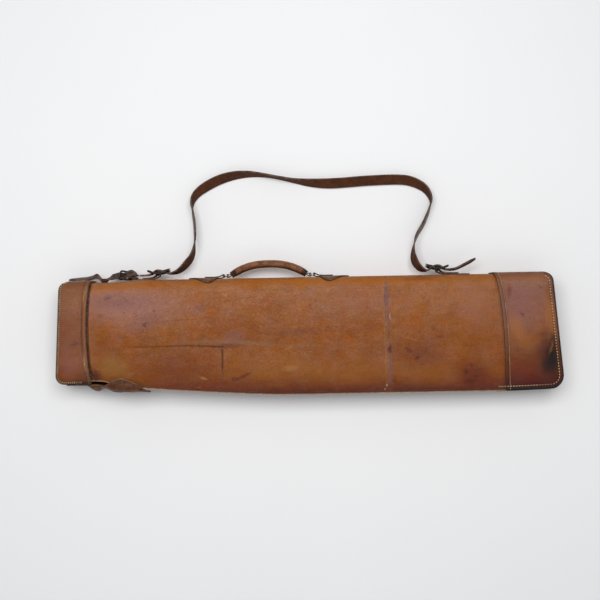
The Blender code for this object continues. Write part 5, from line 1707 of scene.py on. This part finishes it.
def make_handle_chape(side, sign):
    """A leaf sewn over the handle side, whose narrow end folds round the outer bar of a link."""
    bar = (HANDLE_MIDDLE + sign * (LINK_INNER + LINK_LENGTH), LINK_Y)
    radius = LINK_WIRE + BAR_PLAY + TAB_THICKNESS / 2
    floor = TOP + GAP + TAB_THICKNESS / 2
    second = floor + TAB_THICKNESS + GAP
    leaf = [(x, floor) for x in reversed(stops(HANDLE_LEAF_START, HANDLE_LEAF_END, 1.2))]
    lower = leaf + [(3.5, floor + 0.3)]
    fold = [(x - bar[0], y) for x, y in arc(bar, radius, 270, 90, 12)]
    upper = [(3.0, second + 2.2), (7.0, second + 0.6), (14.0, second), (30.0, second)]
    halves = [leaf_half_width(x) for x, y in lower] + [HANDLE_CHAPE_NARROW / 2] * len(fold + upper)
    path = [(bar[0] + sign * x, y) for x, y in lower + fold + upper]
    normals = side_normals(path)
    shares = [-1.0, -0.96, -0.92, -0.88, -0.82, -0.65, -0.45, -0.22, 0.0]
    shares += [-s for s in reversed(shares[:-1])]

    def place(column, row, layer):
        line = hill(abs(shares[row]) - LEAF_CREASE, 0.03) * smooth(6.0, 12.0, halves[column])
        push = normals[column] * ((0.5 - layer) * TAB_THICKNESS - (0 if layer else 0.25 * line)) * -sign
        back = halves[column] - HANDLE_LEAF_SHORT * smooth(6.0, 20.0, halves[column])
        along = (halves[column] if shares[row] > 0 else back) * shares[row]
        y, z, *_ = over_the_fold(path[column][1] + push.y - TOP, along)
        return (path[column][0] + push.x, y, z)

    def shade(column, row):
        edge = 0.8 if row in (0, len(shares) - 1) else 0.0
        rub = max(0.0, ripple(column, row * 4.0, 8.0, 6.0)) * 0.8
        return max(edge, 0.5 * hill(abs(shares[row]) - LEAF_CREASE, 0.03)), rub

    coats = strap_coats("tan", "dark_edge")
    name = f"handle_chape_{side}"
    item = leather_sheet(f"{name}_leather", len(path) - 1, len(shares) - 1, place, coats, shade, edge=0.4)
    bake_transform(item)
    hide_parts(name)
    for edge_sign, label in ((1, "front"), (-1, "back")):
        track = []
        for x in stops(HANDLE_LEAF_START + 5.0, HANDLE_LEAF_END - 3.0, 1.0):
            half = leaf_half_width(x)
            half -= HANDLE_LEAF_SHORT * smooth(6.0, 20.0, half) if edge_sign < 0 else 0.0
            along = edge_sign * max(0.0, half - LEAF_SEAM)
            y, z, out_y, out_z = over_the_fold(GAP + TAB_THICKNESS + 0.05, along)
            track.append((Vector((bar[0] + sign * x, y, z)), Vector((0, out_y, out_z))))
        size = {"pitch": 3.6, "length": 2.5, "width": 0.65}
        row = stitches(f"{name}_{label}_stitches", track, COATS["brown_thread"], **size)
        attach(row, "case")


# ---------------------------------------------------------------- buckles and handle


def rounded_loop(half_x, half_z, corner, height, steps=8):
    """A closed rounded rectangle (X, Y, Z) round the origin, with Y from height(x)."""
    found = []
    for sx, sz, start in ((1, 1, 0), (-1, 1, 90), (-1, -1, 180), (1, -1, 270)):
        for k in range(steps + 1):
            angle = math.radians(start + 90 * k / steps)
            x = sx * (half_x - corner) + corner * math.cos(angle)
            z = sz * (half_z - corner) + corner * math.sin(angle)
            found.append((x, height(x), z))
    return found


def densified(loop, step):
    """A closed loop with more points along its long runs."""
    found = []
    for here, there in zip(loop, loop[1:] + loop[:1]):
        here, there = Vector(here), Vector(there)
        count = max(1, round((there - here).length / step))
        found += [here.lerp(there, k / count) for k in range(count)]
    return found


def join(item, other):
    """Unite two closed meshes into the first."""
    change = item.modifiers.new("join", "BOOLEAN")
    change.operation = "UNION"
    change.solver = "EXACT"
    change.object = other
    settle(item)
    bpy.data.objects.remove(other)


def make_prong(name, bar, pull, tip, body, node, leans=False):
    """A wire hooked round a bar, whose drawn-down tip rests on the end bar."""
    turned = arc((0.0, bar[1]), WIRE + BAR_PLAY + PRONG, -130, 100, 16)
    hook = [(bar[0] - pull * x, y) for x, y in turned]
    start, end = Vector(hook[-1]), Vector(tip)
    shaft = [tuple(start.lerp(end, k / 8)) for k in range(1, 9)]
    points = [(x, y, MIDDLE) for x, y in hook + shaft]
    radii = [PRONG] * (len(points) - 3) + [PRONG * 0.95, PRONG * 0.85, PRONG * 0.6]
    item = tube(name, points, radii, COATS["buckle"])
    if leans:
        lean(item, bar[0])
    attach(item, body)
    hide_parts(node)


def make_lid_buckle():
    half = LID_BUCKLE_LENGTH / 2
    bar_x, bar_y = LID_BUCKLE_BAR
    loop = rounded_loop(half, LID_BUCKLE_WIDTH / 2, 3.0, lambda x: (half - x) * LID_BUCKLE_SLOPE)
    loop = densified(loop, 1.5)
    points = [(bar_x - half + p.x, bar_y + p.y, MIDDLE + p.z) for p in loop]
    item = tube("heel_bar_buckle", points, [WIRE] * len(points), COATS["buckle"], cyclic=True)
    lean(item, bar_x)
    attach(item, "lid_buckle")
    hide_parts("lid_buckle_frame")
    rise = LID_BUCKLE_LENGTH * LID_BUCKLE_SLOPE
    tip = (bar_x - LID_BUCKLE_LENGTH - 1.5, bar_y + rise + WIRE + PRONG + 2 * GAP)
    make_prong("heel_bar_prong", LID_BUCKLE_BAR, -1, tip, "lid_prong", "lid_buckle_prong", leans=True)


def make_sling_buckle(side):
    bar_x, bar_y = SLING_BUCKLE_BARS[side]
    pull = 1 if side == "left" else -1

    def dish(x):
        return SLING_BUCKLE_DISH * (x / SLING_BUCKLE_HALF) ** 2

    flat = densified(rounded_loop(SLING_BUCKLE_HALF, SLING_BUCKLE_WIDTH / 2, 5.0, lambda x: 0.0), 1.5)
    points = [(bar_x + p.x, bar_y + dish(p.x), MIDDLE + p.z) for p in flat]
    name = f"sling_buckle_{side}"
    item = tube(f"{name}_loop", points, [WIRE] * len(points), COATS["buckle"], cyclic=True)
    reach = SLING_BUCKLE_WIDTH / 2
    ends = [(bar_x, bar_y, MIDDLE + reach * k / 6) for k in range(-6, 7)]
    join(item, tube("centre_bar", ends, [WIRE * 0.97] * len(ends), COATS["buckle"]))
    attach(item, f"{side}_buckle")
    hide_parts(f"{name}_frame")
    tip = (bar_x + pull * (SLING_BUCKLE_HALF + 2.0), bar_y + SLING_BUCKLE_DISH + WIRE + PRONG + 2 * GAP)
    make_prong(f"{name}_tongue", (bar_x, bar_y), pull, tip, f"{side}_prong", f"{name}_prong")


def make_handle_cover():
    """The rolled leather grip: wrinkled, drawn in at its ends, with a sewn seam along its underside."""
    steps, sides = 96, 28
    shares = [mix(-1, 1, k / steps) for k in range(steps + 1)]
    line = [handle_point(share) for share in shares]
    normals = side_normals(line)

    def radius(column, row):
        share = abs(shares[column])
        angle = 2 * math.pi * row / sides
        neck = mix(1.0, 0.84, smooth(0.82, 1.0, share))
        wrinkle = 0.16 * ripple(line[column][0] * 1.6, 4.0 * math.sin(angle), 4.0, math.cos(angle))
        rings = 0.12 * math.sin(line[column][0] * 2.1 + 1.2 * math.sin(angle)) * (0.4 + 0.6 * share)
        seam = 0.5 * hill(math.sin(angle / 2 - math.pi / 2), 0.09)
        return HANDLE_RADIUS * neck + wrinkle + rings + seam

    def place(column, row, layer):
        angle = 2 * math.pi * (row % sides) / sides
        reach = HANDLE_BORE if layer else radius(column, row % sides)
        side = normals[column] * reach * math.cos(angle)
        return (line[column][0] + side.x, line[column][1] + side.y, MIDDLE + reach * math.sin(angle))

    def shade(column, row):
        # under is a painted shade on the grip's underside, and top a painted highlight along its top.
        under = smooth(0.2, 1.0, -math.cos(2 * math.pi * row / sides))
        end = smooth(0.84, 0.9, abs(shares[column]))
        top = smooth(0.3, 1.0, math.cos(2 * math.pi * row / sides)) * (1 - end)
        return max(0.75 * under, 0.9 * end), 0.35 * top

    coats = strap_coats("handle", "dark_edge")
    item = leather_sheet("handle_grip_leather", steps, sides, place, coats, shade, closed=True, edge=0.5)
    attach(item, "handle")
    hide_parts("handle_cover")
    track = []
    for k in range(4, steps - 3):
        below = normals[k] * -(HANDLE_RADIUS + 0.45)
        outward = Vector((-normals[k].x, -normals[k].y, 0.0))
        track.append((Vector((line[k][0] + below.x, line[k][1] + below.y, MIDDLE)), outward))
    row = stitches("handle_seam_stitches", track, COATS["cream_thread"], pitch=3.4, length=2.4, width=0.7)
    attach(row, "handle")


def make_handle_end(side, sign):
    """The link at the handle's end and the tab that holds it."""
    bar_x = HANDLE_MIDDLE + sign * LINK_INNER
    loop = densified(rounded_loop(LINK_LENGTH / 2, LINK_WIDTH / 2, 2.2, lambda x: 0.0), 1.5)
    middle = bar_x + sign * LINK_LENGTH / 2
    points = [(middle + p.x, LINK_Y, MIDDLE + p.z) for p in loop]
    link = tube(f"handle_ring_{side}", points, [LINK_WIRE] * len(points), COATS["link"], cyclic=True)
    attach(link, "handle")
    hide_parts(f"handle_link_{side}")
    near, far = handle_point(sign), handle_point(sign * 0.86)
    along = Vector(far) - Vector(near)
    along.normalize()
    across = Vector((-along.y, along.x))
    radius = LINK_WIRE + LINK_PLAY + TAB_THICKNESS / 2
    pinch = TAB_THICKNESS / 2 + GAP / 2
    heading = math.degrees(math.atan2(along.y, along.x))
    fold = arc((bar_x, LINK_Y), radius, heading + 270, heading + 90, 12)
    lower = [tuple(Vector(point) - across * pinch) for point in (far, near)]
    upper = [tuple(Vector(point) + across * pinch) for point in (near, far)]
    coats = strap_coats("strap")
    path = lower + fold + upper
    width = HANDLE_LOOP_WIDTH
    offsets = [-width / 2, -width / 2 + 0.6, -width / 4, 0.0, width / 4, width / 2 - 0.6, width / 2]
    stations = flat_stations(path, -1)

    def place(column, row, layer):
        centre, up, face = stations[column]
        return centre + up * offsets[row] + face * (0.5 - layer) * TAB_THICKNESS

    tab = leather_sheet(f"handle_end_tab_{side}", len(path) - 1, len(offsets) - 1, place, coats, edge=0.35)
    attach(tab, "handle")
    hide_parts(f"handle_loop_{side}")


# ---------------------------------------------------------------- CAD nodes that stay, and the set


def dress_cad_nodes():
    """The pieces whose CAD shape is right: gussets, welts, lining and boards."""
    coats = {
        "bottom_gusset": "gusset",
        "toe_gusset": "gusset",
        "lid_gusset": "gusset",
        "toe_welt_front": "welt",
        "toe_welt_back": "welt",
        "lid_welt_front": "welt",
        "lid_welt_back": "welt",
        "body_lining": "cloth",
        "divider": "board",
        "toe_board": "board",
        "lid_board": "board",
        "handle_core": "rope",
    }
    for node, coat in coats.items():
        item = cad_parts[node]
        item.data.materials.clear()
        item.data.materials.append(COATS[coat])


def area_light(name, place, size, power):
    """A soft rectangular light that faces the middle of the floor."""
    data = bpy.data.lights.new(name, "AREA")
    data.shape = "RECTANGLE"
    data.size, data.size_y = size
    data.energy = power
    light = bpy.data.objects.new(name, data)
    light.location = place
    light.rotation_euler = (-Vector(place)).to_track_quat("-Z", "Y").to_euler()
    bpy.context.scene.collection.objects.link(light)


def make_set():
    """A pale floor, a large soft light over the handle side, a weak fill and the camera overhead."""
    mesh = bmesh.new()
    bmesh.ops.create_grid(mesh, x_segments=1, y_segments=1, size=4000.0)
    bmesh.ops.translate(mesh, vec=(0.0, 0.0, -STITCH_AIR), verts=mesh.verts[:])
    floor = mesh_object("floor", mesh, [floor_paper()])
    area_light("key", KEY_PLACE, (1.5, 0.8), KEY_POWER)
    area_light("fill", FILL_PLACE, (2.0, 1.0), FILL_POWER)
    world = bpy.data.worlds.new("studio")
    world.use_nodes = True
    sky = world.node_tree.nodes["Background"]
    sky.inputs["Color"].default_value = (0.97, 0.98, 1.0, 1.0)
    sky.inputs["Strength"].default_value = SKY_STRENGTH
    bpy.context.scene.world = world
    bpy.context.scene.view_settings.view_transform = "Standard"
    camera = bpy.data.objects.new("camera", bpy.data.cameras.new("camera"))
    camera.data.angle = math.radians(CAMERA_ANGLE)
    camera.location = CAMERA_PLACE
    camera.rotation_euler = (0.0, 0.0, math.radians(CAMERA_TURN))
    bpy.context.scene.collection.objects.link(camera)
    bpy.context.scene.camera = camera


make_set()
make_wraps()
make_seams()
make_shoulder_strap()
make_closing_strap()
make_hinge_strap()
make_keeper()
make_lid_buckle_chape()
make_lid_buckle()
for side, sign in (("left", -1), ("right", 1)):
    make_sling_chape(side)
    make_sling_buckle(side)
    make_handle_chape(side, sign)
    make_handle_end(side, sign)
make_handle_cover()
dress_cad_nodes()
